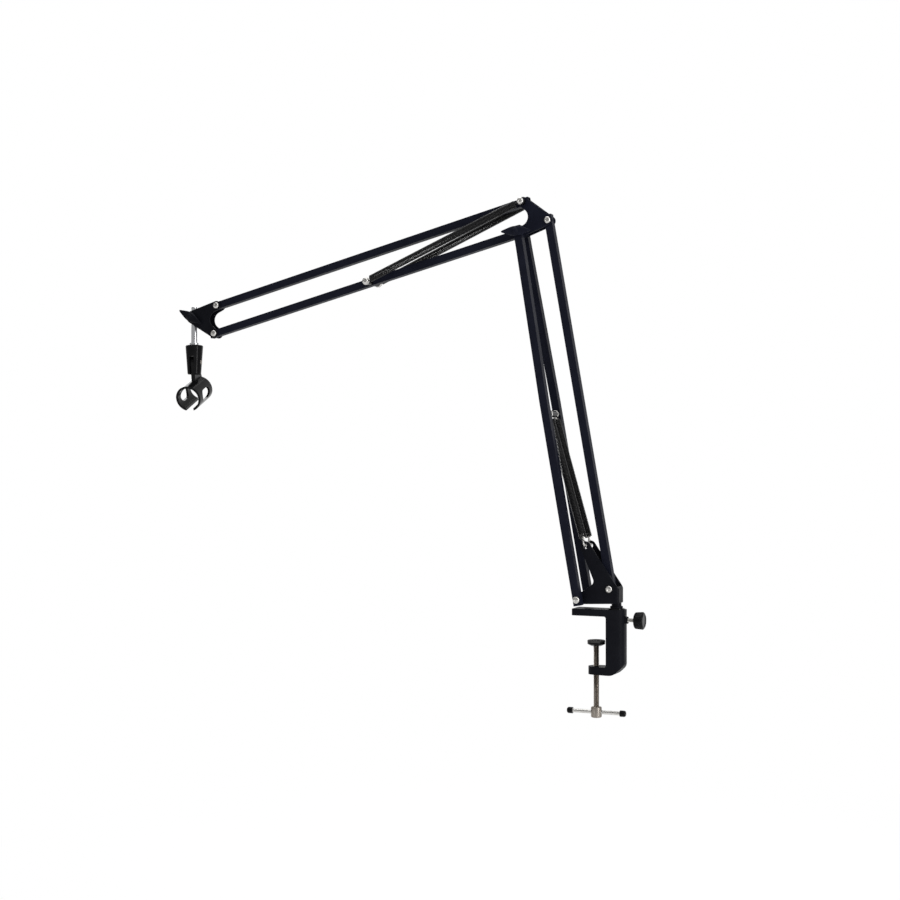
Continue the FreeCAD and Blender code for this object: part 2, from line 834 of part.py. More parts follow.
def springs():
    ends = {"lower_horn": [], "lower_pin": [], "upper_elbow": [], "upper_pin": []}
    cheek_middle = cheek_outer - size.sheet / 2
    for side, hand in (("near", near), ("far", far)):
        low = horn + hand * cheek_middle
        high = lower_spring + hand * size.lower_spring_half
        run = (high - low).normalize()
        low_eye = (low + run * horn_eye_radius, run.cross(far).normalize(), horn_eye_radius, size.hook_shank)
        high_eye = (high, far, pin_eye_radius, size.hook_shank)
        first, last = spring("lower", side, "horn", "pin", low_eye, high_eye,
                             size.lower_coil_radius, "Sizes.lower_coil_radius - Sizes.wire_radius - Sizes.side_gap")
        ends["lower_horn"].append(first)
        ends["lower_pin"].append(last)
        start_eye = (elbow_top + hand * size.elbow_spring_half, far, pin_eye_radius, size.elbow_shank)
        end_eye = (upper_spring + hand * size.upper_spring_half, far, pin_eye_radius, size.hook_shank)
        first, last = spring("upper", side, "elbow", "pin", start_eye, end_eye,
                             size.upper_coil_radius, "Sizes.upper_coil_radius - Sizes.wire_radius - Sizes.side_gap")
        ends["upper_elbow"].append(first)
        ends["upper_pin"].append(last)
    for name, pair in ends.items():
        group(f"{name}_hooks", pair)


# Stud and clip

collar_drop = size.stud_reach - size.stud_thread


def mic_stud():
    """A rod with a cross eye between the head plates."""
    owner = turned("mic_stud", rounded([
        (0, -size.stud_reach, 0),
        (size.stud_radius, -size.stud_reach, 0),
        (size.stud_radius, size.stud_top, size.stud_radius / 4),
        (0, size.stud_top, 0),
    ]), apex, up)
    pad(owner, "XZ_Plane", [circle(0, 0, size.eye_radius)], "Sizes.bar_width", both=True)
    drill(owner, [(0, 0)], size.wing_pin_radius + size.turn_gap)
    bore = size.stud_radius
    turned("stud_collar", [
        (bore, -size.collar_height),
        (size.collar_radius, -size.collar_height),
        (size.collar_radius, 0),
        (bore, 0),
    ], apex - up * collar_drop, up)


def clip():
    """The socket on the stud, its metal insert, the cross screw and the spring jaws."""
    stand = Rotation(up, size.clip_turn)
    place = Placement(apex, stand)
    top = -collar_drop - size.collar_height - size.side_gap
    low = top - size.socket_length
    pivot = -collar_drop - size.clip_pivot_below
    half_lug = size.lug_width / 2
    socket = turned("clip_socket", rounded([
        (0, low, 0),
        (size.socket_tip_radius, low, size.socket_round),
        (size.socket_radius, top, size.socket_round),
        (size.insert_radius, top, 0),
        (size.insert_radius, top - size.insert_length, 0),
        (0, top - size.insert_length, 0),
    ]), apex, up)
    socket.Placement = place
    slot = half_lug + size.side_gap
    pocket(socket, "XZ_Plane", box_outline(-slot, low - size.overrun, slot, low + size.fork_depth), both=True)
    pocket(socket, "YZ_Plane", [circle(0, pivot, size.clip_pin_radius)], both=True)
    grip = size.socket_tip_radius - size.clip_pin_head_height / 2
    for hand in (1, -1):
        seat = pocket(socket, "YZ_Plane", [circle(0, pivot, size.clip_pin_head_radius + size.turn_gap)],
                      "Sizes.socket_radius", back=hand > 0)
        shifted(seat, hand * grip)
    insert = turned("clip_insert", [
        (size.stud_radius + size.turn_gap, top),
        (size.stud_radius + size.turn_gap, top - size.insert_length),
        (size.insert_radius, top - size.insert_length),
        (size.insert_radius, top),
    ], apex, up)
    insert.Placement = place
    cross = stand.multVec(Vector(1, 0, 0))
    centre = apex + up * pivot
    tail = grip + size.clip_pin_head_height
    screw = [
        (0, -tail),
        (size.clip_pin_radius, -tail),
        (size.clip_pin_radius, grip),
        (size.clip_pin_head_radius, grip),
        (size.clip_pin_head_radius, grip + size.clip_pin_head_height),
        (0, grip + size.clip_pin_head_height),
    ]
    turned("clip_screw", screw, centre, -cross)
    nut_body = body("clip_nut", Placement(centre + cross * grip, upright(cross)))
    pad(nut_body, "XY_Plane", hexagon(size.clip_pin_head_radius) + [circle(0, 0, size.clip_pin_radius)],
        "Sizes.clip_pin_head_height")
    clip_jaws(Placement(centre, stand * Rotation(Vector(1, 0, 0), size.clip_tilt)))


def clip_jaws(place):
    owner = body("clip_jaws", place)
    outer = size.clip_bore_radius + size.clip_wall
    drop = -size.clip_drop
    out = size.overrun
    barrel = pad(owner, "XZ_Plane", [circle(0, drop, outer)], "Sizes.clip_length", both=True)
    shifted(barrel, size.clip_forward)
    foot_half = size.lug_radius + size.clip_wall
    root = drop + size.clip_bore_radius + size.clip_wall / 2
    pad(owner, "YZ_Plane", belt([
        (0, 0, size.lug_radius),
        (-foot_half, root, size.clip_wall / 2),
        (foot_half, root, size.clip_wall / 2),
    ]), "Sizes.lug_width", both=True)
    pocket(owner, "XZ_Plane", [circle(0, drop, size.clip_bore_radius)], both=True)
    mouth = size.clip_mouth / 2
    pocket(owner, "XZ_Plane", box_outline(-mouth, drop - outer - out, mouth, drop), both=True)
    round_end = size.clip_window_height / 2
    window = drop - size.clip_window_drop
    ends = size.clip_window_length / 2 - round_end
    pocket(owner, "YZ_Plane", belt([
        (-size.clip_forward - ends, window, round_end),
        (-size.clip_forward + ends, window, round_end),
    ]), both=True)
    pocket(owner, "YZ_Plane", [circle(0, 0, size.clip_pin_radius + size.turn_gap)], both=True)


# Assembly

def base():
    swivel_post()
    base_bracket()
    rear_tail = cheek_outer + size.nut_height + size.pin_tail
    bolt("base_rear_bolt", base_rear, cheek_outer, rear_tail, size.pin_radius)
    nut("base_rear_nut", base_rear, cheek_outer)
    spacers("base_rear_spacers", base_rear, bar_half + size.side_gap, cheek_inner,
            size.pin_radius, size.spacer_radius)
    seat = base_bar_outer + size.side_gap
    bolt("base_front_bolt", base_front, seat, seat + size.nut_height + size.pin_tail, size.pin_radius)
    nut("base_front_nut", base_front, seat)
    spacers("base_front_spacers", base_front, cheek_outer, cheek_outer + size.front_spacer,
            size.pin_radius, size.spacer_radius)


def lower_arm():
    front_bar("lower_near_bar", -1)
    front_bar("lower_far_bar", 1)
    pivot = size.pin_radius + size.turn_gap
    bar("lower_rear_bar", base_rear, size.lower_angle,
        [(0, pivot), (size.bar_length, size.pin_radius + size.open_gap)])
    seat = base_bar_outer
    bolt("lower_spring_bolt", lower_spring, seat, base_bar - bar_half + size.bar_wall, size.spring_pin_radius, far)
    eye = size.hook_radius + size.side_gap
    bore, radius = size.spring_pin_radius, size.head_radius
    inner = turned("lower_spring_sleeve", [
        (bore, eye - size.lower_spring_half),
        (radius, eye - size.lower_spring_half),
        (radius, size.lower_spring_half - eye),
        (bore, size.lower_spring_half - eye),
    ], lower_spring, far)
    sleeves = spacers("lower_spring_ends", lower_spring, size.lower_spring_half + eye, base_bar - bar_half,
                      bore, radius)
    group("lower_spring_sleeves", [inner, sleeves])


def elbow():
    elbow_plates()
    tail = plate_outer + size.nut_height + size.pin_tail
    bolt("elbow_rear_bolt", elbow_rear, plate_outer, tail, size.pin_radius)
    nut("elbow_rear_nut", elbow_rear, plate_outer)
    eye = size.hook_radius + size.side_gap
    seat = size.elbow_spring_half + eye
    bolt("elbow_top_bolt", elbow_top, seat, seat + size.nut_height + size.pin_tail, size.pin_radius)
    nut("elbow_top_nut", elbow_top, seat)
    spacers("elbow_top_spacers", elbow_top, plate_outer, size.elbow_spring_half - eye,
            size.pin_radius, size.head_radius)
    seat = elbow_bar_outer + size.side_gap
    bolt("elbow_wing_bolt", elbow_low, seat, seat + size.wing_hub_height + size.pin_tail,
         size.wing_pin_radius, far)
    wing_nut("elbow_wing_nut", elbow_low, seat, size.elbow_wing_turn)


def upper_arm():
    open_hole = size.pin_radius + size.open_gap
    pivot = size.pin_radius + size.turn_gap
    bar("upper_top_bar", elbow_top, size.upper_angle, [(0, pivot), (size.bar_length, open_hole)])
    bar("upper_bottom_bar", elbow_low, size.upper_angle, [
        (0, size.wing_pin_radius + size.turn_gap),
        (size.upper_spring_along, size.spring_pin_radius),
        (size.bar_length, pivot),
    ])
    eye = size.hook_radius + size.side_gap
    seat = size.upper_spring_half + eye
    bolt("upper_spring_bolt", upper_spring, seat, seat + size.nut_height + size.pin_tail, size.spring_pin_radius)
    nut("upper_spring_nut", upper_spring, seat)
    spacers("upper_spring_spacers", upper_spring, bar_half, size.upper_spring_half - eye,
            size.spring_pin_radius, size.head_radius)


def head():
    head_plates()
    tail = plate_outer + size.nut_height + size.pin_tail
    for name, place in (("top", head_top), ("bottom", head_low)):
        bolt(f"head_{name}_bolt", place, plate_outer, tail, size.pin_radius)
        nut(f"head_{name}_nut", place, plate_outer)
    seat = plate_outer + size.side_gap
    bolt("head_wing_bolt", apex, plate_outer, seat + size.wing_hub_height + size.pin_tail,
         size.wing_pin_radius, far)
    wing_nut("head_wing_nut", apex, seat, size.head_wing_turn)


def check_and_write():
    doc.recompute()
    for item in doc.Objects:
        if any(word in item.State for word in ("Invalid", "Error")):
            raise RuntimeError(f"{item.Label} is {item.State}")
    for node in made:
        if node.Shape.isNull() or not node.Shape.isValid():
            raise RuntimeError(f"{node.Label} has no valid shape")
    for node in made:
        node.Shape.exportStep(f"parts/{node.Label}.step")
    print(len(made), "nodes written")


clamp_frame()
post_bush()
lock_screw()
clamp_screw()
base()
lower_arm()
elbow()
upper_arm()
springs()
head()
mic_stud()
clip()
check_and_write()
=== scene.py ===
import json
import math

import bmesh
import bpy
from mathutils import Matrix, Vector

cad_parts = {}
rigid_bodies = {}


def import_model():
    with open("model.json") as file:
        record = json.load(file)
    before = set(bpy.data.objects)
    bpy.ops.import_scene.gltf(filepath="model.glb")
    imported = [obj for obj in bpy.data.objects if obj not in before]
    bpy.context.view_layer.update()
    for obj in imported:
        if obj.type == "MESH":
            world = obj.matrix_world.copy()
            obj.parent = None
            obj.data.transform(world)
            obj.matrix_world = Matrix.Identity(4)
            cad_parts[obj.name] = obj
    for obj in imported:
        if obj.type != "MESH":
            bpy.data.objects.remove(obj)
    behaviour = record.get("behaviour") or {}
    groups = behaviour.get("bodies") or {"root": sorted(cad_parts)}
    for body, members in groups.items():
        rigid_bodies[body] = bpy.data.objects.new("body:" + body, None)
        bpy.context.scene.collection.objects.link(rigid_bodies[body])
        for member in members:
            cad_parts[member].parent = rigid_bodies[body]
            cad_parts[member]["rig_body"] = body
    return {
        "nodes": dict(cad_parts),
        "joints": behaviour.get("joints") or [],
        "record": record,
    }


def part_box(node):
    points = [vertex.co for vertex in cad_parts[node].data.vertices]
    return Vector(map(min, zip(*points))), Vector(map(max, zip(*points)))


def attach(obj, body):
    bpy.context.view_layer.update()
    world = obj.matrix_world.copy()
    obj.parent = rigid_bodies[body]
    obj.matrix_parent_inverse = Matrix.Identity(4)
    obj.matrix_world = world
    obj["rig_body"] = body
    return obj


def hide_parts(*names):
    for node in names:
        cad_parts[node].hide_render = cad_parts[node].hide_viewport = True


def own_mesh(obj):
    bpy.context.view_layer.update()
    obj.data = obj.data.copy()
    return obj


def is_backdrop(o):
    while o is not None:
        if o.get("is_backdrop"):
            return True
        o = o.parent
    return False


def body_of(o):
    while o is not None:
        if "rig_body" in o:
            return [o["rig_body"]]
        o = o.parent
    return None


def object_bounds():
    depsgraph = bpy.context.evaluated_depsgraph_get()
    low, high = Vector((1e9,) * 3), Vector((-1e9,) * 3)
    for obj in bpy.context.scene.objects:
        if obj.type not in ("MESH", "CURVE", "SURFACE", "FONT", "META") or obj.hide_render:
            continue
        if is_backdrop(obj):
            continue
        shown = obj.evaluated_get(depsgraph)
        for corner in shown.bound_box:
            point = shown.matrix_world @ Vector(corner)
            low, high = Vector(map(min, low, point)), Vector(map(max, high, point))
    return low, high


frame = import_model()
cadLow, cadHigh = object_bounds()
scene = bpy.context.scene
mm = 0.001


# Small helpers for node trees

def addNode(tree, kind, values=None, **fields):
    made = tree.nodes.new(kind)
    for name, value in fields.items():
        setattr(made, name, value)
    for name, value in (values or {}).items():
        made.inputs[name].default_value = value
    return made


def join(tree, source, target):
    tree.links.new(source, target)


def newGroup(name, inputs, outputs, kind="ShaderNodeTree"):
    tree = bpy.data.node_groups.new(name, kind)
    for label, socket, value in inputs:
        made = tree.interface.new_socket(label, in_out="INPUT", socket_type=socket)
        if value is not None:
            made.default_value = value
    for label, socket in outputs:
        tree.interface.new_socket(label, in_out="OUTPUT", socket_type=socket)
    return tree, addNode(tree, "NodeGroupInput"), addNode(tree, "NodeGroupOutput")


def maths(tree, operation, first, second):
    made = addNode(tree, "ShaderNodeMath", operation=operation)
    for index, value in enumerate((first, second)):
        if isinstance(value, (int, float)):
            made.inputs[index].default_value = value
        else:
            join(tree, value, made.inputs[index])
    return made.outputs[0]


def mapped(tree, value, low, high, toLow, toHigh):
    made = addNode(tree, "ShaderNodeMapRange", {
        "From Min": low, "From Max": high, "To Min": toLow, "To Max": toHigh,
    })
    join(tree, value, made.inputs["Value"])
    return made.outputs["Result"]


# Surface effects shared by the finishes

floatIn, vectorIn = "NodeSocketFloat", "NodeSocketVector"


def orangePeelGroup():
    tree, given, out = newGroup("orangePeel", [
        ("Vector", vectorIn, None), ("Scale", floatIn, 900.0), ("Softness", floatIn, 0.5),
    ], [("Height", floatIn), ("Mottle", floatIn)])
    peel = addNode(tree, "ShaderNodeTexNoise", {"Detail": 2.0})
    join(tree, given.outputs["Vector"], peel.inputs["Vector"])
    join(tree, given.outputs["Scale"], peel.inputs["Scale"])
    join(tree, given.outputs["Softness"], peel.inputs["Roughness"])
    cloud = addNode(tree, "ShaderNodeTexNoise", {"Detail": 4.0, "Roughness": 0.6})
    join(tree, given.outputs["Vector"], cloud.inputs["Vector"])
    join(tree, maths(tree, "MULTIPLY", given.outputs["Scale"], 0.05), cloud.inputs["Scale"])
    join(tree, peel.outputs["Fac"], out.inputs["Height"])
    join(tree, mapped(tree, cloud.outputs["Fac"], 0.3, 0.7, 0.0, 1.0), out.inputs["Mottle"])
    return tree


def edgeRubGroup():
    tree, given, out = newGroup("edgeRub", [
        ("Rim", floatIn, 0.0), ("Vector", vectorIn, None),
        ("Scale", floatIn, 260.0), ("Amount", floatIn, 0.5),
    ], [("Mask", floatIn)])
    spots = addNode(tree, "ShaderNodeTexNoise", {"Detail": 5.0, "Roughness": 0.65})
    join(tree, given.outputs["Vector"], spots.inputs["Vector"])
    join(tree, given.outputs["Scale"], spots.inputs["Scale"])
    patch = mapped(tree, spots.outputs["Fac"], 0.46, 0.66, 0.0, 1.0)
    worn = maths(tree, "MULTIPLY", patch, given.outputs["Rim"])
    join(tree, maths(tree, "MULTIPLY", worn, given.outputs["Amount"]), out.inputs["Mask"])
    return tree


def handlingGroup():
    tree, given, out = newGroup("handling", [
        ("Vector", vectorIn, None), ("Scale", floatIn, 60.0), ("Amount", floatIn, 0.3),
    ], [("Mask", floatIn)])
    smear = addNode(tree, "ShaderNodeTexNoise", {"Detail": 6.0, "Roughness": 0.6, "Distortion": 0.8})
    join(tree, given.outputs["Vector"], smear.inputs["Vector"])
    join(tree, given.outputs["Scale"], smear.inputs["Scale"])
    soft = mapped(tree, smear.outputs["Fac"], 0.35, 0.75, 0.0, 1.0)
    join(tree, maths(tree, "MULTIPLY", soft, given.outputs["Amount"]), out.inputs["Mask"])
    return tree


def turnedLinesGroup():
    tree, given, out = newGroup("turnedLines", [
        ("Vector", vectorIn, None), ("Scale", floatIn, 3000.0), ("Stretch", vectorIn, (1.0, 1.0, 1.0)),
    ], [("Height", floatIn), ("Streak", floatIn)])
    drawn = addNode(tree, "ShaderNodeVectorMath", operation="MULTIPLY")
    join(tree, given.outputs["Vector"], drawn.inputs[0])
    join(tree, given.outputs["Stretch"], drawn.inputs[1])
    lines = addNode(tree, "ShaderNodeTexNoise", {"Detail": 3.0, "Roughness": 0.7})
    join(tree, drawn.outputs[0], lines.inputs["Vector"])
    join(tree, given.outputs["Scale"], lines.inputs["Scale"])
    join(tree, lines.outputs["Fac"], out.inputs["Height"])
    join(tree, mapped(tree, lines.outputs["Fac"], 0.3, 0.7, 0.0, 1.0), out.inputs["Streak"])
    return tree


effects = {
    "orangePeel": orangePeelGroup(),
    "edgeRub": edgeRubGroup(),
    "handling": handlingGroup(),
    "turnedLines": turnedLinesGroup(),
}
print("surface effects:", ", ".join(effects))


# Finishes

class Finish:
    # one material with its object coordinates and principled shader ready
    def __init__(self, name, values):
        self.material = bpy.data.materials.new(name)
        self.material.use_nodes = True
        self.tree = self.material.node_tree
        self.tree.nodes.clear()
        self.shader = addNode(self.tree, "ShaderNodeBsdfPrincipled", values)
        self.surface = addNode(self.tree, "ShaderNodeOutputMaterial").inputs["Surface"]
        join(self.tree, self.shader.outputs[0], self.surface)
        self.place = addNode(self.tree, "ShaderNodeTexCoord").outputs["Object"]

    def effect(self, name, **values):
        made = addNode(self.tree, "ShaderNodeGroup", node_tree=effects[name])
        join(self.tree, self.place, made.inputs["Vector"])
        for label, value in values.items():
            made.inputs[label].default_value = value
        return made

    def rim(self):
        return addNode(self.tree, "ShaderNodeAttribute", attribute_name="rim").outputs["Fac"]

    def colour(self, factor, first, second):
        mix = addNode(self.tree, "ShaderNodeMix", data_type="RGBA")
        join(self.tree, factor, mix.inputs[0])
        for socket, value in ((mix.inputs[6], first), (mix.inputs[7], second)):
            if isinstance(value, tuple):
                socket.default_value = (*value, 1.0)
            else:
                join(self.tree, value, socket)
        return mix.outputs[2]

    def paint(self, socket):
        join(self.tree, socket, self.shader.inputs["Base Color"])

    def rough(self, value, low, high):
        join(self.tree, mapped(self.tree, value, 0.0, 1.0, low, high), self.shader.inputs["Roughness"])

    def bump(self, height, depth, strength):
        made = addNode(self.tree, "ShaderNodeBump", {"Distance": depth, "Strength": strength})
        join(self.tree, height, made.inputs["Height"])
        join(self.tree, made.outputs[0], self.shader.inputs["Normal"])


# a pair in each entry is the scale and amount of an effect, its depth and strength, or two limits
coats = {
    "satinBlackPaint": {"dark": (0.0058, 0.0066, 0.0125), "light": (0.0092, 0.0102, 0.0182),
                        "rubbed": (0.04, 0.041, 0.047), "ior": 1.14, "peel": (1100.0, 0.5),
                        "rub": (240.0, 0.55), "smear": (45.0, 0.8), "rough": (0.4, 0.52),
                        "bump": (0.00003, 0.6)},
    # a darker, more neutral copy of the satin paint, which is painted shade on the clamp and head pieces
    "castBlackPaint": {"dark": (0.0038, 0.0041, 0.0062), "light": (0.0062, 0.0066, 0.0092),
                       "rubbed": (0.035, 0.035, 0.038), "ior": 1.14, "peel": (1100.0, 0.5),
                       "rub": (240.0, 0.55), "smear": (45.0, 0.8), "rough": (0.4, 0.52),
                       "bump": (0.00003, 0.6)},
    "mouldedBlackPlastic": {"dark": (0.0028, 0.0028, 0.0033), "light": (0.0055, 0.0055, 0.006),
                            "rubbed": (0.02, 0.02, 0.022), "ior": 1.2, "peel": (2100.0, 0.7),
                            "rub": (320.0, 0.5), "smear": (70.0, 0.9), "rough": (0.12, 0.2),
                            "bump": (0.000025, 0.5)},
}
metals = {
    "zincPlatedSteel": {"dark": (0.5, 0.49, 0.47), "light": (0.74, 0.73, 0.71), "film": (0.42, 0.41, 0.38),
                        "lines": 900.0, "stretch": (1.0, 0.25, 1.0), "smear": (220.0, 0.6),
                        "rough": (0.2, 0.4), "bump": (0.00001, 0.5)},
    "oiledScrewSteel": {"dark": (0.2, 0.175, 0.15), "light": (0.42, 0.385, 0.345), "film": (0.12, 0.1, 0.085),
                        "lines": 500.0, "stretch": (1.0, 1.0, 0.12), "smear": (120.0, 0.7),
                        "rough": (0.28, 0.45), "bump": (0.00001, 0.5)},
    "turnedBrass": {"dark": (0.5, 0.33, 0.11), "light": (0.72, 0.53, 0.22), "film": (0.36, 0.24, 0.1),
                    "lines": 1200.0, "stretch": (0.2, 0.2, 1.0), "smear": (200.0, 0.5),
                    "rough": (0.22, 0.4), "bump": (0.00001, 0.5)},
}


def blackCoat(name):
    look = coats[name]
    made = Finish(name, {"IOR": look["ior"]})
    peel = made.effect("orangePeel", **dict(zip(("Scale", "Softness"), look["peel"])))
    rub = made.effect("edgeRub", **dict(zip(("Scale", "Amount"), look["rub"])))
    join(made.tree, made.rim(), rub.inputs["Rim"])
    smear = made.effect("handling", **dict(zip(("Scale", "Amount"), look["smear"])))
    base = made.colour(peel.outputs["Mottle"], look["dark"], look["light"])
    made.paint(made.colour(rub.outputs["Mask"], base, look["rubbed"]))
    made.rough(smear.outputs["Mask"], *look["rough"])
    made.bump(peel.outputs["Height"], *look["bump"])
    return made.material


def turnedMetal(name):
    look = metals[name]
    made = Finish(name, {"Metallic": 1.0})
    lines = made.effect("turnedLines", Scale=look["lines"], Stretch=look["stretch"])
    smear = made.effect("handling", **dict(zip(("Scale", "Amount"), look["smear"])))
    base = made.colour(lines.outputs["Streak"], look["dark"], look["light"])
    made.paint(made.colour(smear.outputs["Mask"], base, look["film"]))
    made.rough(smear.outputs["Mask"], *look["rough"])
    made.bump(lines.outputs["Height"], *look["bump"])
    return made.material


def springPaint():
    look = {"dark": (0.003, 0.003, 0.0035), "light": (0.008, 0.008, 0.0085)}
    made = Finish("blackSpringWire", {"IOR": 1.3})
    drawn = made.effect("turnedLines", Scale=700.0, Stretch=(1.0, 1.0, 1.0))
    made.paint(made.colour(drawn.outputs["Streak"], look["dark"], look["light"]))
    made.rough(drawn.outputs["Streak"], 0.3, 0.42)
    made.bump(drawn.outputs["Height"], 0.00002, 0.4)
    return made.material


def chromePlate():
    look = {"clear": (0.8, 0.81, 0.83), "haze": (0.66, 0.67, 0.69)}
    made = Finish("brightChrome", {"Metallic": 1.0})
    smear = made.effect("handling", Scale=90.0, Amount=0.7)
    lines = made.effect("turnedLines", Scale=300.0, Stretch=(1.0, 1.0, 0.3))
    made.paint(made.colour(smear.outputs["Mask"], look["clear"], look["haze"]))
    made.rough(smear.outputs["Mask"], 0.1, 0.2)
    made.bump(lines.outputs["Height"], 0.000002, 0.2)
    return made.material


def padRubber():
    look = {"dark": (0.012, 0.012, 0.012), "light": (0.028, 0.027, 0.026)}
    made = Finish("padRubber", {"IOR": 1.5})
    peel = made.effect("orangePeel", Scale=1600.0, Softness=0.8)
    made.paint(made.colour(peel.outputs["Mottle"], look["dark"], look["light"]))
    made.rough(peel.outputs["Mottle"], 0.68, 0.85)
    made.bump(peel.outputs["Height"], 0.00006, 0.7)
    return made.material


finishes = {
    "satin_black": blackCoat("satinBlackPaint"),
    # the darker copy of the satin paint carries painted shade
    "cast_black": blackCoat("castBlackPaint"),
    "spring_black": springPaint(),
    "zinc_steel": turnedMetal("zincPlatedSteel"),
    "screw_steel": turnedMetal("oiledScrewSteel"),
    "chrome": chromePlate(),
    "black_plastic": blackCoat("mouldedBlackPlastic"),
    "pad_rubber": padRubber(),
    "insert_brass": turnedMetal("turnedBrass"),
}
print("finishes:", len(finishes))


# Mesh helpers

def newPiece(name, mesh):
    piece = bpy.data.objects.new(name, mesh)
    scene.collection.objects.link(piece)
    return piece


def fromBmesh(name, bm):
    mesh = bpy.data.meshes.new(name)
    bm.to_mesh(mesh)
    bm.free()
    return newPiece(name, mesh)


def settle(piece):
    # modifiers into a plain mesh
    graph = bpy.context.evaluated_depsgraph_get()
    ready = piece.evaluated_get(graph)
    made = bpy.data.meshes.new_from_object(ready, preserve_all_data_layers=True, depsgraph=graph)
    piece.modifiers.clear()
    piece.data = made
    made.name = piece.name
    return piece


def smoothed(piece, angle=32):
    mesh = piece.data
    mesh.polygons.foreach_set("use_smooth", [True] * len(mesh.polygons))
    mesh.set_sharp_from_angle(angle=math.radians(angle))
    even = piece.modifiers.new("evenNormals", "WEIGHTED_NORMAL")
    even.keep_sharp = True
    even.weight = 100
    return settle(piece)


def dress(piece, body, slot, *nodes, finish=None):
    piece.data.materials.clear()
    piece.data.materials.append(finishes[finish or slot])
    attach(piece, body)
    if nodes:
        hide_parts(*nodes)
    return piece


def camel(node):
    first, *rest = node.split("_")
    return first + "".join(word.capitalize() for word in rest)


def skin(bm, rings, steps):
    # faces between neighbouring rings, where a ring may be one point
    for low, high in zip(rings, rings[1:]):
        for step in range(steps):
            after = (step + 1) % steps
            corners = (low[step % len(low)], low[after % len(low)],
                       high[after % len(high)], high[step % len(high)])
            unique = list(dict.fromkeys(corners))
            if len(unique) > 2:
                bm.faces.new(unique)


def lathe(name, outline, steps=48):
    # outline of (radius, height) turned about Z, in metres
    bm = bmesh.new()
    rings = []
    for radius, height in outline:
        if radius < 1e-7:
            rings.append([bm.verts.new((0, 0, height))])
            continue
        turns = [2 * math.pi * step / steps for step in range(steps)]
        rings.append([bm.verts.new((radius * math.cos(t), radius * math.sin(t), height)) for t in turns])
    skin(bm, rings, steps)
    bmesh.ops.recalc_face_normals(bm, faces=bm.faces[:])
    return fromBmesh(name, bm)


def turnTo(direction, place=(0, 0, 0)):
    # a matrix that lays the Z axis along a direction
    return Matrix.Translation(place) @ Vector(direction).to_track_quat("Z", "Y").to_matrix().to_4x4()


def oneMesh(name, *parts):
    bm = bmesh.new()
    for part in parts:
        bm.from_mesh(part.data)
        bpy.data.objects.remove(part)
    return fromBmesh(name, bm)


def grown(name, tree, values, base=None):
    # a geometry nodes tree made into a plain mesh
    piece = newPiece(name, base or bpy.data.meshes.new(name))
    modifier = piece.modifiers.new("nodes", "NODES")
    modifier.node_group = tree
    for item in tree.interface.items_tree:
        if item.in_out == "INPUT" and item.name in values:
            modifier[item.identifier] = values[item.name]
    return settle(piece)


geometryIn, objectIn, intIn = "NodeSocketGeometry", "NodeSocketObject", "NodeSocketInt"


def geometryGroup(name, *inputs):
    # a geometry tree with named sizes and a finish
    return newGroup(name, [("Geometry", geometryIn, None), *inputs, ("Finish", "NodeSocketMaterial", None)],
                    [("Geometry", geometryIn)], "GeometryNodeTree")


def helixCurve(tree, turns, radius, length, steps):
    made = addNode(tree, "GeometryNodeCurveSpiral", {"Resolution": steps})
    given = {"Rotations": turns, "Start Radius": radius, "End Radius": radius, "Height": length}
    for label, value in given.items():
        join(tree, value, made.inputs[label])
    return made.outputs[0]


def sweptTube(tree, path, radius, corners):
    section = addNode(tree, "GeometryNodeCurvePrimitiveCircle", {"Resolution": corners})
    join(tree, radius, section.inputs["Radius"])
    made = addNode(tree, "GeometryNodeCurveToMesh", {"Fill Caps": True})
    join(tree, path, made.inputs["Curve"])
    join(tree, section.outputs[0], made.inputs["Profile Curve"])
    return made.outputs[0]


def aboutZ(tree, turn):
    made = addNode(tree, "ShaderNodeCombineXYZ")
    join(tree, turn, made.inputs["Z"])
    return made.outputs[0]


def asRotation(tree, angles):
    made = addNode(tree, "FunctionNodeEulerToRotation")
    join(tree, angles, made.inputs[0])
    return made.outputs[0]


def spreadCopies(tree, points, source, facing):
    info = addNode(tree, "GeometryNodeObjectInfo")
    join(tree, source, info.inputs["Object"])
    made = addNode(tree, "GeometryNodeInstanceOnPoints")
    join(tree, points, made.inputs["Points"])
    join(tree, info.outputs["Geometry"], made.inputs["Instance"])
    join(tree, facing, made.inputs["Rotation"])
    return made


def gather(tree, *parts):
    made = addNode(tree, "GeometryNodeJoinGeometry")
    for part in parts:
        join(tree, part, made.inputs[0])
    return made.outputs[0]


def closeTree(tree, given, out, made):
    # real geometry in its finish ends each tree
    real = addNode(tree, "GeometryNodeRealizeInstances")
    join(tree, made, real.inputs[0])
    cover = addNode(tree, "GeometryNodeSetMaterial")
    join(tree, real.outputs[0], cover.inputs["Geometry"])
    join(tree, given["Finish"], cover.inputs["Material"])
    join(tree, cover.outputs[0], out.inputs[0])
    return tree


def combined(piece, other, operation, nested=False):
    # an exact boolean of two pieces, which uses up the second
    made = piece.modifiers.new("combined", "BOOLEAN")
    made.operation, made.solver, made.use_self, made.object = operation, "EXACT", nested, other
    settle(piece)
    bpy.data.objects.remove(other)
    return piece


def drillBit(radius, half, steps):
    return lathe("drillBit", [(0, -half), (radius, -half), (radius, half), (0, half)], steps)


# Edges of cut and cast pieces are broken as the real ones are

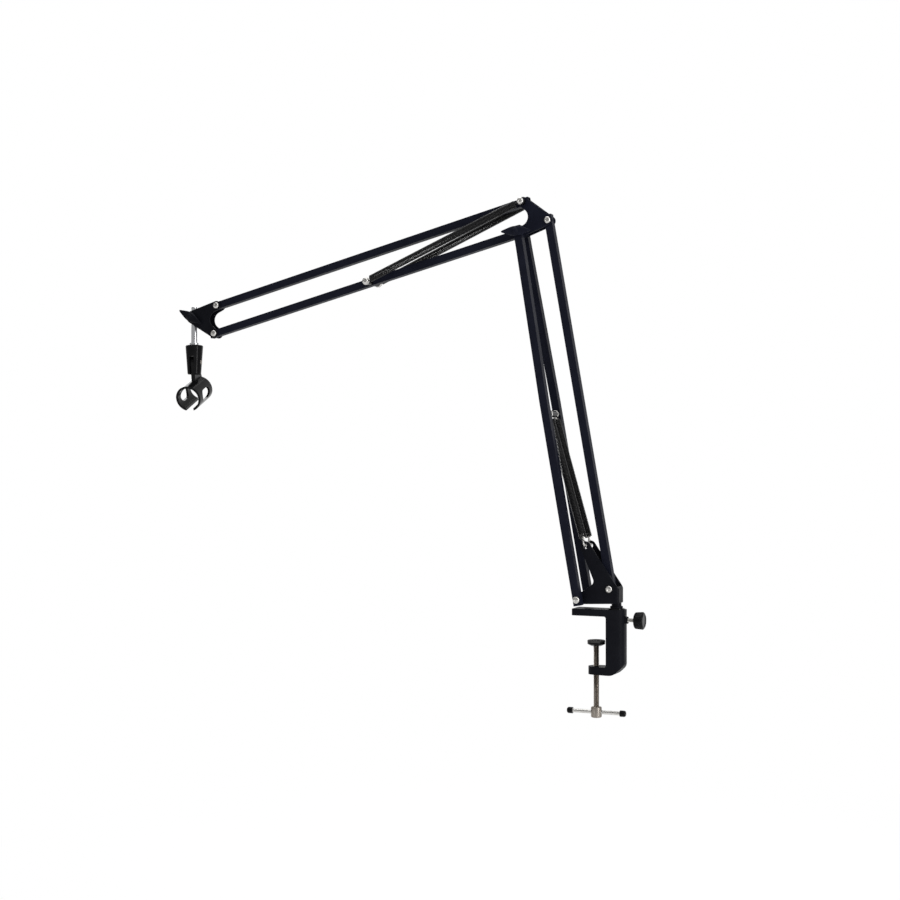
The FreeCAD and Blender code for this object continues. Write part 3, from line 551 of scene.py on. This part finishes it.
# width in millimetres and steps of each edge
softEdges = {
    "clamp_frame": (1.3, 4), "post_bush": (0.3, 2), "swivel_post": (0.35, 2), "base_bracket": (0.35, 2),
    "lower_near_bar": (0.7, 3), "lower_far_bar": (0.7, 3), "lower_rear_bar": (0.7, 3),
    "upper_top_bar": (0.7, 3), "upper_bottom_bar": (0.7, 3),
    "elbow_near_plate": (0.3, 2), "elbow_far_plate": (0.3, 2),
    "head_near_plate": (0.3, 2), "head_far_plate": (0.3, 2),
    "clip_socket": (0.45, 3), "clip_jaws": (0.6, 3),
    "base_rear_spacers": (0.25, 2), "base_front_spacers": (0.25, 2), "lower_spring_sleeves": (0.25, 2),
    "elbow_top_spacers": (0.25, 2), "upper_spring_spacers": (0.25, 2),
    "stud_collar": (0.3, 2), "clip_insert": (0.3, 2),
    "pressure_plate": (0.4, 2), "tommy_bar": (0.25, 2), "tommy_caps": (0.25, 2),
}


def bodyOf(node):
    return body_of(frame["nodes"][node])[0]


def slotOf(node):
    for part in frame["record"]["subparts"]:
        if part["node"] == node:
            return part["material_slot"]


weld = {"reach": 0.002, "flat": 0.6, "sharp": 28.0}


def softCopy(node, width, segments):
    source = frame["nodes"][node]
    bm = bmesh.new()
    bm.from_mesh(source.data)
    bmesh.ops.remove_doubles(bm, verts=bm.verts[:], dist=weld["reach"] * mm)
    bmesh.ops.dissolve_limit(bm, angle_limit=math.radians(weld["flat"]), verts=bm.verts[:], edges=bm.edges[:])
    rim = bm.faces.layers.float.new("rim")
    sharp = math.radians(weld["sharp"])
    corners = [edge for edge in bm.edges if edge.is_manifold and edge.calc_face_angle(0) > sharp]
    made = bmesh.ops.bevel(bm, geom=corners, offset=width * mm, offset_type="OFFSET", segments=segments,
                           profile=0.5, affect="EDGES", clamp_overlap=True)
    for face in made["faces"]:
        face[rim] = 1.0
    return smoothed(fromBmesh(camel(node), bm))


# the clamp and head pieces take the darker copy of the satin paint as painted shade
shadedPieces = dict.fromkeys(
    ("clamp_frame", "base_bracket", "swivel_post", "head_near_plate", "head_far_plate"), "cast_black")
for node, (width, segments) in softEdges.items():
    dress(softCopy(node, width, segments), bodyOf(node), slotOf(node), node, finish=shadedPieces.get(node))
print("softened pieces:", len(softEdges))


# Springs: close wound wire, each in two lengths that slide past each other as the arm moves

springSizes = {
    "lower": {"from": (-8.65, 8.4, 69.7), "to": (-47.27, 8.4, 203.756), "fromEnd": 9.1, "toEnd": 6.05,
              "radius": 3.4, "wire": 0.64, "pitch": 1.46, "nest": 0.03, "shares": (0.88, 0.52),
              "joint": "lower_arm_tilt", "keep": 0.902,
              "bodies": ("lower_springs", "lower_spring_ends")},
    "upper": {"from": (-77.489, 11.0, 422.011), "to": (-253.302, 14.0, 347.749),
              "fromEnd": 6.85, "toEnd": 6.05,
              "radius": 3.15, "wire": 0.62, "pitch": 1.42, "nest": 0.03, "shares": (0.8, 0.36),
              "joint": "upper_arm_tilt", "keep": 0.897,
              "bodies": ("upper_springs", "upper_spring_ends")},
}


def coilTree():
    tree, source, out = geometryGroup(
        "closeCoil", ("Turns", floatIn, 20.0), ("Radius", floatIn, 0.0035), ("Length", floatIn, 0.02),
        ("Wire", floatIn, 0.0005), ("Start", floatIn, 0.0))
    given = source.outputs
    helix = helixCurve(tree, given["Turns"], given["Radius"], given["Length"], 22)
    turned = addNode(tree, "GeometryNodeTransform")
    join(tree, sweptTube(tree, helix, given["Wire"], 8), turned.inputs["Geometry"])
    join(tree, aboutZ(tree, given["Start"]), turned.inputs["Rotation"])
    return closeTree(tree, given, out, turned.outputs[0])


def windSprings():
    tree = coilTree()
    for arm, sizes in springSizes.items():
        for side, hand in (("near", -1), ("far", 1)):
            start = Vector(sizes["from"]) * mm
            end = Vector(sizes["to"]) * mm
            start.y *= hand
            end.y *= hand
            axis = (end - start).normalized()
            first = start + axis * sizes["fromEnd"] * mm
            whole = (end - start).length - (sizes["fromEnd"] + sizes["toEnd"]) * mm
            pitch = sizes["pitch"] * mm
            for half, body in enumerate(sizes["bodies"]):
                length = whole * sizes["shares"][half]
                low = 0.0 if half == 0 else whole - length
                values = {
                    "Turns": length / pitch, "Length": length, "Start": -2 * math.pi * low / pitch,
                    "Radius": (sizes["radius"] - sizes["nest"] * half) * mm, "Wire": sizes["wire"] * mm,
                    "Finish": finishes["spring_black"],
                }
                name = camel(f"{arm}_{side}_coil_{('foot', 'tip')[half]}")
                piece = grown(name, tree, values)
                piece.data.transform(turnTo(axis, first + axis * low))
                piece.data.polygons.foreach_set("use_smooth", [True] * len(piece.data.polygons))
                dress(piece, body, "spring_black", *([f"{arm}_{side}_spring"] if half == 0 else []))
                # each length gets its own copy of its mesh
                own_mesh(piece)
    print("springs wound")


windSprings()


# Screws with cross recesses, nuts and threaded tails

fastener = {"headRadius": 3.6, "headHeight": 2.4, "headFoot": (0.96, 0.08), "headWall": 0.3, "headFlat": 0.35,
            "crossWidth": 0.8, "crossLength": 4.0, "crossDepth": 0.8, "crossRise": 0.3,
            "crossFoot": (0.45, 0.75), "crossMouth": (1.1, 1.05),
            "nutRadius": 3.9, "nutHeight": 3.0, "nutFace": 0.97, "nutSlope": 0.577,
            "shank": 2.0, "shankPlay": 0.02, "tail": 3.6, "threadPitch": 0.7, "domeWall": 0.25, "seed": 7}


def panHead():
    radius, height = fastener["headRadius"] * mm, fastener["headHeight"] * mm
    wall, flat = fastener["headWall"], fastener["headFlat"]
    footWidth, footHeight = fastener["headFoot"]
    outline = [(0, 0), (radius * footWidth, 0), (radius, height * footHeight), (radius, height * wall)]
    for step in range(1, 9):
        turn = math.pi / 2 * step / 8
        wide, tall = flat + (1 - flat) * math.cos(turn), wall + (1 - wall) * math.sin(turn)
        outline.append((radius * wide, height * tall))
    outline.append((0, height))
    head = lathe("panHead", outline)
    cutter = bmesh.new()
    deep = fastener["crossDepth"] * mm
    for turn in (0.0, math.pi / 2):
        made = bmesh.ops.create_cube(cutter, size=1.0)["verts"]
        for vert in made:
            low = vert.co.z < 0
            along, across = fastener["crossFoot" if low else "crossMouth"]
            vert.co.x *= fastener["crossLength"] * mm * along
            vert.co.y *= fastener["crossWidth"] * mm * across
            vert.co.z = height - deep if low else height + deep * fastener["crossRise"]
        bmesh.ops.rotate(cutter, verts=made, matrix=Matrix.Rotation(turn, 3, "Z"))
    bmesh.ops.recalc_face_normals(cutter, faces=cutter.faces[:])
    return combined(head, fromBmesh("crossCutter", cutter), "DIFFERENCE", nested=True)


def domeHead():
    radius, height, wall = fastener["headRadius"] * mm, fastener["headHeight"] * mm, fastener["domeWall"]
    outline = [(0, 0), (radius, 0)]
    for step in range(10):
        turn = math.pi / 2 * step / 10
        outline.append((radius * math.cos(turn), height * (wall + (1 - wall) * math.sin(turn))))
    return lathe("domeHead", outline + [(0, height)])


def hexNut():
    # six flats whose corners are turned off at both faces
    corner, height, bore = fastener["nutRadius"] * mm, fastener["nutHeight"] * mm, fastener["shank"] * mm
    flat = corner * math.cos(math.pi / 6)
    face, slope = flat * fastener["nutFace"], fastener["nutSlope"]
    bm = bmesh.new()
    steps = 48
    rings = [[] for _ in range(6)]
    for step in range(steps):
        turn = 2 * math.pi * step / steps
        lean = (turn % (math.pi / 3)) - math.pi / 6
        reach = flat / math.cos(lean)
        fall = (reach - face) * slope
        levels = ((bore, 0), (face, 0), (reach, fall), (reach, height - fall), (face, height), (bore, height))
        for ring, (radius, level) in zip(rings, levels):
            ring.append(bm.verts.new((radius * math.cos(turn), radius * math.sin(turn), level)))
    skin(bm, rings + rings[:1], steps)
    bmesh.ops.recalc_face_normals(bm, faces=bm.faces[:])
    return fromBmesh("hexNut", bm)


def threadTree():
    # a ridge of diamond section wound round a plain core
    tree, source, out = geometryGroup(
        "thread", ("Radius", floatIn, 0.003), ("Length", floatIn, 0.02), ("Pitch", floatIn, 0.001),
        ("Ridge", floatIn, 0.48))
    given = source.outputs
    ridge = maths(tree, "MULTIPLY", given["Pitch"], given["Ridge"])
    root = maths(tree, "SUBTRACT", given["Radius"], ridge)
    turns = maths(tree, "DIVIDE", given["Length"], given["Pitch"])
    upright = addNode(tree, "GeometryNodeSetCurveNormal", mode="Z_UP")
    join(tree, helixCurve(tree, turns, root, given["Length"], 28), upright.inputs["Curve"])
    line = addNode(tree, "GeometryNodeCurvePrimitiveLine")
    join(tree, aboutZ(tree, given["Length"]), line.inputs["End"])
    wound = sweptTube(tree, upright.outputs[0], ridge, 4)
    return closeTree(tree, given, out, gather(tree, wound, sweptTube(tree, line.outputs[0], root, 32)))


threads = threadTree()


def threadRod(name, radius, length, pitch, finish):
    sizes = {"Radius": radius, "Length": length, "Pitch": pitch * mm}
    return grown(name, threads, {**sizes, "Finish": finishes[finish]})


def fastenerTree():
    # a mesh of edges gives the shanks; its points carry a kind and a lean
    kinds = ("Head", "Nut", "Tail")
    tree, source, out = geometryGroup(
        "fasteners", *((label, objectIn, None) for label in kinds),
        ("Shank", floatIn, 0.002), ("Seed", intIn, 1))
    given = source.outputs

    def pointValue(name, kind):
        made = addNode(tree, "GeometryNodeInputNamedAttribute", {"Name": name}, data_type=kind)
        return made.outputs["Attribute"]

    chance = addNode(tree, "FunctionNodeRandomValue", data_type="FLOAT")
    chance.inputs[3].default_value = math.pi
    join(tree, given["Seed"], chance.inputs["Seed"])
    facing = addNode(tree, "FunctionNodeRotateRotation", rotation_space="LOCAL")
    join(tree, asRotation(tree, pointValue("lean", "FLOAT_VECTOR")), facing.inputs[0])
    join(tree, asRotation(tree, aboutZ(tree, chance.outputs[1])), facing.inputs[1])
    parts = []
    for number, label in enumerate(kinds):
        chosen = addNode(tree, "FunctionNodeCompare", data_type="INT", operation="EQUAL")
        join(tree, pointValue("kind", "INT"), chosen.inputs[2])
        chosen.inputs[3].default_value = number
        spread = spreadCopies(tree, given["Geometry"], given[label], facing.outputs[0])
        join(tree, chosen.outputs[0], spread.inputs["Selection"])
        parts.append(spread.outputs[0])
    line = addNode(tree, "GeometryNodeMeshToCurve")
    join(tree, given["Geometry"], line.inputs["Mesh"])
    parts.append(sweptTube(tree, line.outputs[0], given["Shank"], 32))
    return closeTree(tree, given, out, gather(tree, *parts))


boltsOnBodies = {
    "base": ["base_rear", "base_front"],
    "lower_front": ["lower_spring"],
    "elbow": ["elbow_rear", "elbow_top"],
    "upper_bottom": ["upper_spring"],
    "head": ["head_top", "head_bottom"],
}


def fitFasteners():
    tree = fastenerTree()
    headHeight, tailLength, shank = (fastener[key] * mm for key in ("headHeight", "tail", "shank"))
    head, nut = panHead(), hexNut()
    tail = threadRod("boltTail", shank, tailLength, fastener["threadPitch"], "zinc_steel")
    towardsNear, towardsFar = (math.pi / 2, 0, 0), (-math.pi / 2, 0, 0)
    for body, names in boltsOnBodies.items():
        places, edges, replaced = [], [], []
        for name in names:
            low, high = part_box(f"{name}_bolt")
            x, z = (low.x + high.x) / 2, (low.z + high.z) / 2
            base = len(places)
            replaced.append(f"{name}_bolt")
            if name == "lower_spring":  # its head is on the far side, and its tail has no nut
                places += [((x, high.y - headHeight, z), 0, towardsFar), ((x, low.y, z), -1, towardsFar)]
                edges.append((base, base + 1))
                continue
            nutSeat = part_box(f"{name}_nut")[0].y
            places += [((x, low.y + headHeight, z), 0, towardsNear), ((x, nutSeat, z), 1, towardsFar),
                       ((x, high.y - tailLength, z), 2, towardsFar)]
            edges.append((base, base + 2))
            replaced.append(f"{name}_nut")
        points, kinds, leans = zip(*places)
        mesh = bpy.data.meshes.new("boltPlaces")
        mesh.from_pydata(points, edges, [])
        mesh.attributes.new("kind", "INT", "POINT").data.foreach_set("value", kinds)
        leanRows = mesh.attributes.new("lean", "FLOAT_VECTOR", "POINT").data
        leanRows.foreach_set("vector", sum(map(list, leans), []))
        piece = grown(camel(f"{body}_screws"), tree, {
            "Head": head, "Nut": nut, "Tail": tail, "Shank": shank - fastener["shankPlay"] * mm,
            "Seed": fastener["seed"], "Finish": finishes["zinc_steel"],
        }, mesh)
        dress(smoothed(piece, 38), body, "zinc_steel", *replaced)
    for template in (head, nut, tail):
        bpy.data.objects.remove(template)
    print("screws and nuts fitted")


fitFasteners()


# Wing bolts and wing nuts

# the hub's foot and crown are (share of its radius, millimetres), its side is in shares of radius and height
wing = {"hub": 4.8, "hubHeight": 6.5, "cap": 6.9, "bore": 2.55, "boreFloor": 1.2, "lift": 3.3, "fullness": 0.75,
        "hubFoot": ((0.94, 0.0), (1.0, 0.4)), "hubSide": ((0.98, 0.4), (0.84, 0.75), (0.6, 0.94)),
        "hubCrown": ((0.35, 0.1), (0.15, 0.02), (0.0, 0.0)),
        "shank": 2.5, "pitch": 0.8, "shankEnd": 1.6, "turns": {"elbow": 0.0, "head": -29.0},
        # the head's wing nut takes the darker copy of the satin paint as painted shade
        "finish": {"elbow": "satin_black", "head": "cast_black"},
        "widths": ((0.0, 5.1), (1.8, 5.05), (3.6, 4.85), (5.4, 4.45), (7.2, 3.9), (9.0, 3.3), (10.8, 2.65),
                   (12.6, 2.0), (14.2, 1.45), (15.4, 0.95), (16.0, 0.4)),
        "thick": ((0.0, 5.2), (3.6, 4.6), (7.2, 3.7), (10.8, 2.9), (14.2, 2.1), (16.0, 1.0))}


def along(table, place):
    for (a, first), (b, second) in zip(table, table[1:]):
        if place <= b:
            return first + (second - first) * (place - a) / (b - a)
    return table[-1][1]


def leafBlade(bm):
    # rings of a soft oval section from tip to tip
    outward = [place for place, width in wing["widths"]]
    stations = [-place for place in reversed(outward[1:])] + outward
    steps = 20
    rings = []
    for station in stations:
        width, thick = along(wing["widths"], abs(station)), along(wing["thick"], abs(station)) / 2
        ring = []
        for step in range(steps):
            turn = 2 * math.pi * step / steps
            c, s = math.cos(turn), math.sin(turn)
            across = math.copysign(abs(c) ** wing["fullness"], c) * width
            depth = math.copysign(abs(s) ** wing["fullness"], s) * thick
            ring.append(bm.verts.new((station * mm, across * mm, (wing["lift"] + depth) * mm)))
        rings.append(ring)
    skin(bm, rings, steps)
    for ring in (rings[0], rings[-1]):
        bm.faces.new(ring)


def wingNut(name, body):
    node = f"{name}_wing_nut"
    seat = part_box(node)[1].y
    bm = bmesh.new()
    leafBlade(bm)
    bmesh.ops.recalc_face_normals(bm, faces=bm.faces[:])
    blade = fromBmesh(camel(node), bm)
    rounder = blade.modifiers.new("rounder", "SUBSURF")
    rounder.levels = rounder.render_levels = 1
    settle(blade)
    hub, height, bore, cap = (wing[key] * mm for key in ("hub", "hubHeight", "bore", "cap"))
    floor = height - wing["boreFloor"] * mm
    ring = lathe("wingHub", [
        (0, floor), (bore, floor), (bore, 0),
        *((hub * wide, rise * mm) for wide, rise in wing["hubFoot"]),
        *((hub * wide, height * tall) for wide, tall in wing["hubSide"]),
        *((hub * wide, cap - fall * mm) for wide, fall in wing["hubCrown"]),
    ])
    combined(blade, ring, "UNION")
    spin = math.radians(wing["turns"][name])
    x, z = wingPlaces[node]
    blade.data.transform(Matrix.Translation((x, seat, z)) @ Matrix.Rotation(spin, 4, (0, -1, 0))
                         @ Matrix.Rotation(math.pi / 2, 4, "X"))
    return dress(smoothed(blade, 40), body, slotOf(node), node, finish=wing["finish"][name])


wingPlaces = {}
for name in ("elbow", "head"):
    low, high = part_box(f"{name}_wing_bolt")
    wingPlaces[f"{name}_wing_nut"] = ((low.x + high.x) / 2, (low.z + high.z) / 2)


def wingBolt(name, body):
    node = f"{name}_wing_bolt"
    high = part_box(node)[1]
    x, z = wingPlaces[f"{name}_wing_nut"]
    seat = high.y - fastener["headHeight"] * mm
    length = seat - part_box(f"{name}_wing_nut")[1].y + (wing["hubHeight"] - wing["shankEnd"]) * mm
    head = domeHead()
    head.data.transform(turnTo((0, 1, 0), (x, seat, z)))
    rod = threadRod("wingThread", wing["shank"] * mm, length, wing["pitch"], "zinc_steel")
    rod.data.transform(turnTo((0, -1, 0), (x, seat, z)))
    return dress(smoothed(oneMesh(camel(node), head, rod), 38), body, slotOf(node), node)


for name, wingBody in (("elbow", "elbow_wing"), ("head", "head_wing")):
    wingNut(name, wingBody)
    wingBolt(name, bodyOf(f"{name}_wing_bolt"))
print("wing nuts fitted")


# Stud: a bright rod with a cross eye for the head's wing bolt

micStud = {"radius": 3.5, "reach": 42.0, "top": 12.0, "crown": 0.9, "eye": 6.0, "eyeHalf": 4.0, "bore": 2.55,
           "soft": 0.3}


def studWithEye():
    x, z = wingPlaces["head_wing_nut"]
    sizes = {name: value * mm for name, value in micStud.items()}
    radius, top, eye, half, soft = (sizes[name] for name in ("radius", "top", "eye", "eyeHalf", "soft"))
    outline = [(0, -sizes["reach"]), (radius - soft, -sizes["reach"]), (radius, soft - sizes["reach"]),
               (radius, -eye - soft), (radius, eye + soft)]
    for step in range(7):
        turn = math.pi / 2 * step / 6
        fall, rise = math.cos(turn) - 1, math.sin(turn) - 1
        outline.append((radius + sizes["crown"] * fall, top + sizes["crown"] * rise))
    rod = lathe("micStud", outline + [(0, top)], 96)
    ring = lathe("studEye", [(0, -half), (eye - soft, -half), (eye, soft - half), (eye, half - soft),
                             (eye - soft, half), (0, half)], 96)
    bore = drillBit(sizes["bore"], 2 * half, 48)
    for turned in (ring, bore):
        turned.data.transform(turnTo((0, 1, 0)))
    combined(combined(rod, ring, "UNION"), bore, "DIFFERENCE")
    rod.data.transform(Matrix.Translation((x, 0, z)))
    dress(smoothed(rod), bodyOf("mic_stud"), "chrome", "mic_stud")
    print("stud made")


studWithEye()


# Cross screw that the clip's jaws turn on

clipScrew = {"headRadius": 2.8, "headHeight": 1.6, "shank": 1.6, "pitch": 0.5}


def jawScrew():
    hinge = next(joint for joint in frame["joints"] if joint["name"] == "clip_tilt")
    centre, axis = Vector(hinge["pos_m"]), Vector(hinge["axis"]).normalized()
    reach = max((vert.co - centre).dot(axis) for vert in frame["nodes"]["clip_screw"].data.vertices)
    seat = reach - clipScrew["headHeight"] * mm
    wide, tall = (clipScrew[size] / fastener[size] for size in ("headRadius", "headHeight"))
    head = panHead()
    head.data.transform(turnTo(-axis, centre - axis * seat) @ Matrix.Diagonal((wide, wide, tall, 1)))
    rod = threadRod("clipThread", clipScrew["shank"] * mm, seat + reach, clipScrew["pitch"], "screw_steel")
    rod.data.transform(turnTo(axis, centre - axis * seat))
    piece = smoothed(oneMesh("clipScrew", head, rod), 38)
    dress(piece, bodyOf("clip_screw"), slotOf("clip_screw"), "clip_screw", finish="screw_steel")
    print("clip screw made")


jawScrew()


# Lock knob with grip ribs, and its threaded stud

# profiles are (inset from the radius, height), from the back edge and from the face
knob = {"radius": 9.0, "length": 10.0, "taper": 0.8, "ribs": 30, "stud": 2.0, "studPitch": 0.7, "dish": 0.4,
        "back": ((3.0, 0.0), (2.0, 0.3), (1.3, 1.2)),
        "face": ((0.5, 1.4), (0.9, 0.6), (1.8, 0.1), (3.0, 0.1), (3.4, 0.6), (6.0, 0.7), (9.0, 0.7)),
        "ribFoot": ((0.0, 0.6), (0.3, 0.8), (0.52, 1.4), (0.55, 3.0)),
        "ribTop": ((0.55, 3.0), (0.52, 1.6), (0.3, 1.0), (0.0, 0.8)), "ribInset": 0.6}


def ribTree():
    tree, source, out = geometryGroup(
        "gripRibs", ("Rib", objectIn, None), ("Count", intIn, 24), ("Radius", floatIn, 0.009))
    given = source.outputs
    circle = addNode(tree, "GeometryNodeMeshCircle")
    join(tree, given["Count"], circle.inputs["Vertices"])
    join(tree, given["Radius"], circle.inputs["Radius"])
    share = maths(tree, "DIVIDE", addNode(tree, "GeometryNodeInputIndex").outputs[0], given["Count"])
    facing = asRotation(tree, aboutZ(tree, maths(tree, "MULTIPLY", share, 2 * math.pi)))
    spread = spreadCopies(tree, circle.outputs[0], given["Rib"], facing)
    return closeTree(tree, given, out, gather(tree, given["Geometry"], spread.outputs[0]))


def lockKnob():
    low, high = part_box("lock_knob")
    y, z = (low.y + high.y) / 2, (low.z + high.z) / 2
    radius, length, taper = knob["radius"] * mm, knob["length"] * mm, knob["taper"] * mm
    outline = [(0, knob["dish"] * mm), (knob["stud"] * mm, knob["dish"] * mm)]
    outline += [(radius - inset * mm, height * mm) for inset, height in knob["back"]]
    outline += [(radius - inset * mm, length - depth * mm) for inset, depth in knob["face"]]
    body = lathe("knobBody", outline, 96)
    rib = lathe("knobRib", [(wide * mm, height * mm) for wide, height in knob["ribFoot"]]
                + [(wide * mm, length - depth * mm) for wide, depth in knob["ribTop"]], 10)
    lean = math.atan2(taper, length)
    rib.data.transform(Matrix.Translation((-taper / 2, 0, 0)) @ Matrix.Rotation(lean, 4, "Y"))
    piece = grown("lockKnob", ribTree(), {
        "Rib": rib, "Count": knob["ribs"], "Radius": radius - knob["ribInset"] * mm - taper / 2,
        "Finish": finishes["black_plastic"],
    }, body.data)
    for template in (body, rib):
        bpy.data.objects.remove(template)
    piece.data.transform(turnTo((1, 0, 0), (low.x, y, z)))
    dress(smoothed(piece, 35), "lock", "black_plastic", "lock_knob")
    low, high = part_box("lock_stud")
    stud = threadRod("lockStud", knob["stud"] * mm, high.x - low.x, knob["studPitch"], "zinc_steel")
    stud.data.transform(turnTo((1, 0, 0), (low.x, y, z)))
    dress(smoothed(stud, 38), "lock", "zinc_steel", "lock_stud")
    print("lock knob made")


lockKnob()


# Clamp screw with its thread, cross-bored head and rubber faced plate

# edges are (inset from the radius, distance from the face)
clampScrew = {"radius": 3.0, "pitch": 1.0, "length": 61.0, "headRadius": 5.5, "headHeight": 11.0,
              "headEdge": ((1.2, 0.0), (0.4, 0.4), (0.0, 1.2)),
              "spigot": 2.0, "spigotHeight": 2.4, "spigotEdge": 0.5, "sunk": 0.4,
              "boreRadius": 2.05, "boreHalf": 10.0}
padRings = {"radii": (7.2, 5.5, 3.8, 2.1), "groove": ((0.5, 0.0), (0.3, 0.6), (-0.3, 0.6), (-0.5, 0.0)),
            "footEdge": 0.3, "topEdge": 0.4}


def clampScrewPiece():
    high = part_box("clamp_screw")[1]
    sizes = {name: value * mm for name, value in clampScrew.items() if name != "headEdge"}
    top = high.z - sizes["spigotHeight"]
    foot = top - sizes["length"]
    rod = threadRod("clampThread", sizes["radius"], top - foot, clampScrew["pitch"], "screw_steel")
    rod.data.transform(Matrix.Translation((0, 0, foot)))
    base = foot - sizes["headHeight"]
    edge = [(sizes["headRadius"] - inset * mm, off * mm) for inset, off in clampScrew["headEdge"]]
    head = lathe("clampHead", [(0, base), *((r, base + off) for r, off in edge),
                               *((r, foot - off) for r, off in reversed(edge)), (0, foot)], 64)
    bore = drillBit(sizes["boreRadius"], sizes["boreHalf"], 32)
    bore.data.transform(turnTo((1, 0, 0), (0, 0, (foot + base) / 2)))
    combined(head, bore, "DIFFERENCE")
    spigot, soft, sunk = sizes["spigot"], sizes["spigotEdge"], top - sizes["sunk"]
    tip = lathe("clampSpigot", [(0, sunk), (spigot, sunk), (spigot, high.z - soft), (spigot - soft, high.z),
                                (0, high.z)], 32)
    piece = smoothed(oneMesh("clampScrew", rod, head, tip), 38)
    dress(piece, "screw", slotOf("clamp_screw"), "clamp_screw", finish="screw_steel")
    print("clamp screw made")


def pressurePadPiece():
    low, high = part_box("pressure_pad")
    radius, height = (high.x - low.x) / 2, high.z - low.z
    footEdge, topEdge = padRings["footEdge"] * mm, padRings["topEdge"] * mm
    outline = [(0, 0), (radius - footEdge, 0), (radius, footEdge),
               (radius, height - topEdge), (radius - topEdge, height)]
    for ring in padRings["radii"]:
        outline += [((ring + side) * mm, height - deep * mm) for side, deep in padRings["groove"]]
    pad = lathe("pressurePad", outline + [(0, height)], 72)
    pad.data.transform(Matrix.Translation(((low.x + high.x) / 2, (low.y + high.y) / 2, low.z)))
    dress(smoothed(pad, 35), bodyOf("pressure_pad"), "pad_rubber", "pressure_pad")
    print("pad made")


clampScrewPiece()
pressurePadPiece()


# Every CAD node still on show takes its finish

darker = {"clip_nut": "screw_steel"}
kept = 0
for node, piece in frame["nodes"].items():
    if not piece.hide_render:
        piece.data.materials.clear()
        piece.data.materials.append(finishes[darker.get(node, slotOf(node))])
        kept += 1
print("plain nodes kept:", kept)


# Stage: pale floor, soft light, and the camera where the photograph was taken

stage = {"lens": 60.72, "eye": (0.481, -1.463, 0.1615), "target": (-0.1614, 0.0002, 0.1671),
         "middle": (-0.16, 0.0, 0.17), "sideLevel": 0.36, "backdrop": (0.6, 0.95), "skyLevel": 0.55,
         "floor": (0.9, 0.9, 0.905), "floorSize": 6.0, "drop": 0.2, "nearWhite": 0.6, "fade": (0.15, 0.8),
         "tint": 0.985, "sensor": 36.0, "clip": (0.01, 50.0)}
lamps = {
    "keyRight": {"place": (1.1, -0.9, 1.3), "size": (1.1, 1.1), "power": 9.0},
    "topSoft": {"place": (-0.3, 0.1, 1.7), "size": (1.6, 1.6), "power": 16.0},
    "backLeft": {"place": (-1.3, 1.2, 0.9), "size": (1.0, 1.0), "power": 8.0},
    "stripRight": {"place": (1.15, -0.5, 0.3), "size": (0.3, 1.2), "power": 7.0},
}


def rayKinds(tree):
    # whether the background is seen straight, or in a mirror or through glass
    path = addNode(tree, "ShaderNodeLightPath")
    mirror = maths(tree, "MAXIMUM", path.outputs["Is Glossy Ray"], path.outputs["Is Transmission Ray"])
    return path.outputs["Is Camera Ray"], mirror


def paleFloor():
    floor = bmesh.new()
    bmesh.ops.create_grid(floor, x_segments=1, y_segments=1, size=stage["floorSize"])
    bmesh.ops.translate(floor, verts=floor.verts[:], vec=(0, 0, cadLow.z - stage["drop"]))
    ground = fromBmesh("studioFloor", floor)
    pale = Finish("paleFloor", {"Roughness": 0.9, "Specular IOR Level": 0.1})
    tint = pale.effect("handling", Scale=1.5, Amount=0.3)
    dimmer = tuple(level * stage["tint"] for level in stage["floor"])
    pale.paint(pale.colour(tint.outputs["Mask"], stage["floor"], dimmer))
    far = addNode(pale.tree, "ShaderNodeVectorMath", operation="LENGTH")
    join(pale.tree, pale.place, far.inputs[0])
    share = mapped(pale.tree, far.outputs["Value"], *stage["fade"], stage["nearWhite"], 1.0)
    white = addNode(pale.tree, "ShaderNodeEmission")
    blend = addNode(pale.tree, "ShaderNodeMixShader")
    seen = maths(pale.tree, "MAXIMUM", *rayKinds(pale.tree))
    join(pale.tree, maths(pale.tree, "MULTIPLY", share, seen), blend.inputs[0])
    join(pale.tree, pale.shader.outputs[0], blend.inputs[1])
    join(pale.tree, white.outputs[0], blend.inputs[2])
    join(pale.tree, blend.outputs[0], pale.surface)
    ground.data.materials.append(pale.material)
    ground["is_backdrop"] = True


def softRoom():
    world = bpy.data.worlds.new("softRoom")
    scene.world = world
    world.use_nodes = True
    tree = world.node_tree
    tree.nodes.clear()
    toward = addNode(tree, "ShaderNodeSeparateXYZ")
    join(tree, addNode(tree, "ShaderNodeTexCoord").outputs["Generated"], toward.inputs[0])
    backdrop = mapped(tree, toward.outputs["Y"], *stage["backdrop"], stage["sideLevel"], 1.0)
    straight, mirror = rayKinds(tree)
    level = addNode(tree, "ShaderNodeMix", {"A": stage["skyLevel"]}, data_type="FLOAT")
    join(tree, mirror, level.inputs["Factor"])
    join(tree, backdrop, level.inputs["B"])
    sky = addNode(tree, "ShaderNodeBackground", {"Color": (1.0, 1.0, 1.0, 1.0)})
    join(tree, maths(tree, "MAXIMUM", straight, level.outputs["Result"]), sky.inputs["Strength"])
    end = addNode(tree, "ShaderNodeOutputWorld")
    join(tree, sky.outputs[0], end.inputs[0])


def placed(name, data, place, target):
    holder = bpy.data.objects.new(name, data)
    scene.collection.objects.link(holder)
    holder.location = place
    holder.rotation_euler = (Vector(target) - Vector(place)).to_track_quat("-Z", "Y").to_euler()
    return holder


def lampsAndCamera():
    for name, lamp in lamps.items():
        light = bpy.data.lights.new(name, "AREA")
        light.shape = "RECTANGLE"
        light.energy = lamp["power"]
        light.size, light.size_y = lamp["size"]
        placed(name, light, lamp["place"], stage["middle"])
    lens = bpy.data.cameras.new("photoCamera")
    lens.lens, lens.sensor_width, lens.sensor_fit = stage["lens"], stage["sensor"], "HORIZONTAL"
    lens.clip_start, lens.clip_end = stage["clip"]
    scene.camera = placed("photoCamera", lens, stage["eye"], stage["target"])
    scene.view_settings.view_transform = "Standard"


paleFloor()
softRoom()
lampsAndCamera()
print("stage set")

low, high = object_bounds()
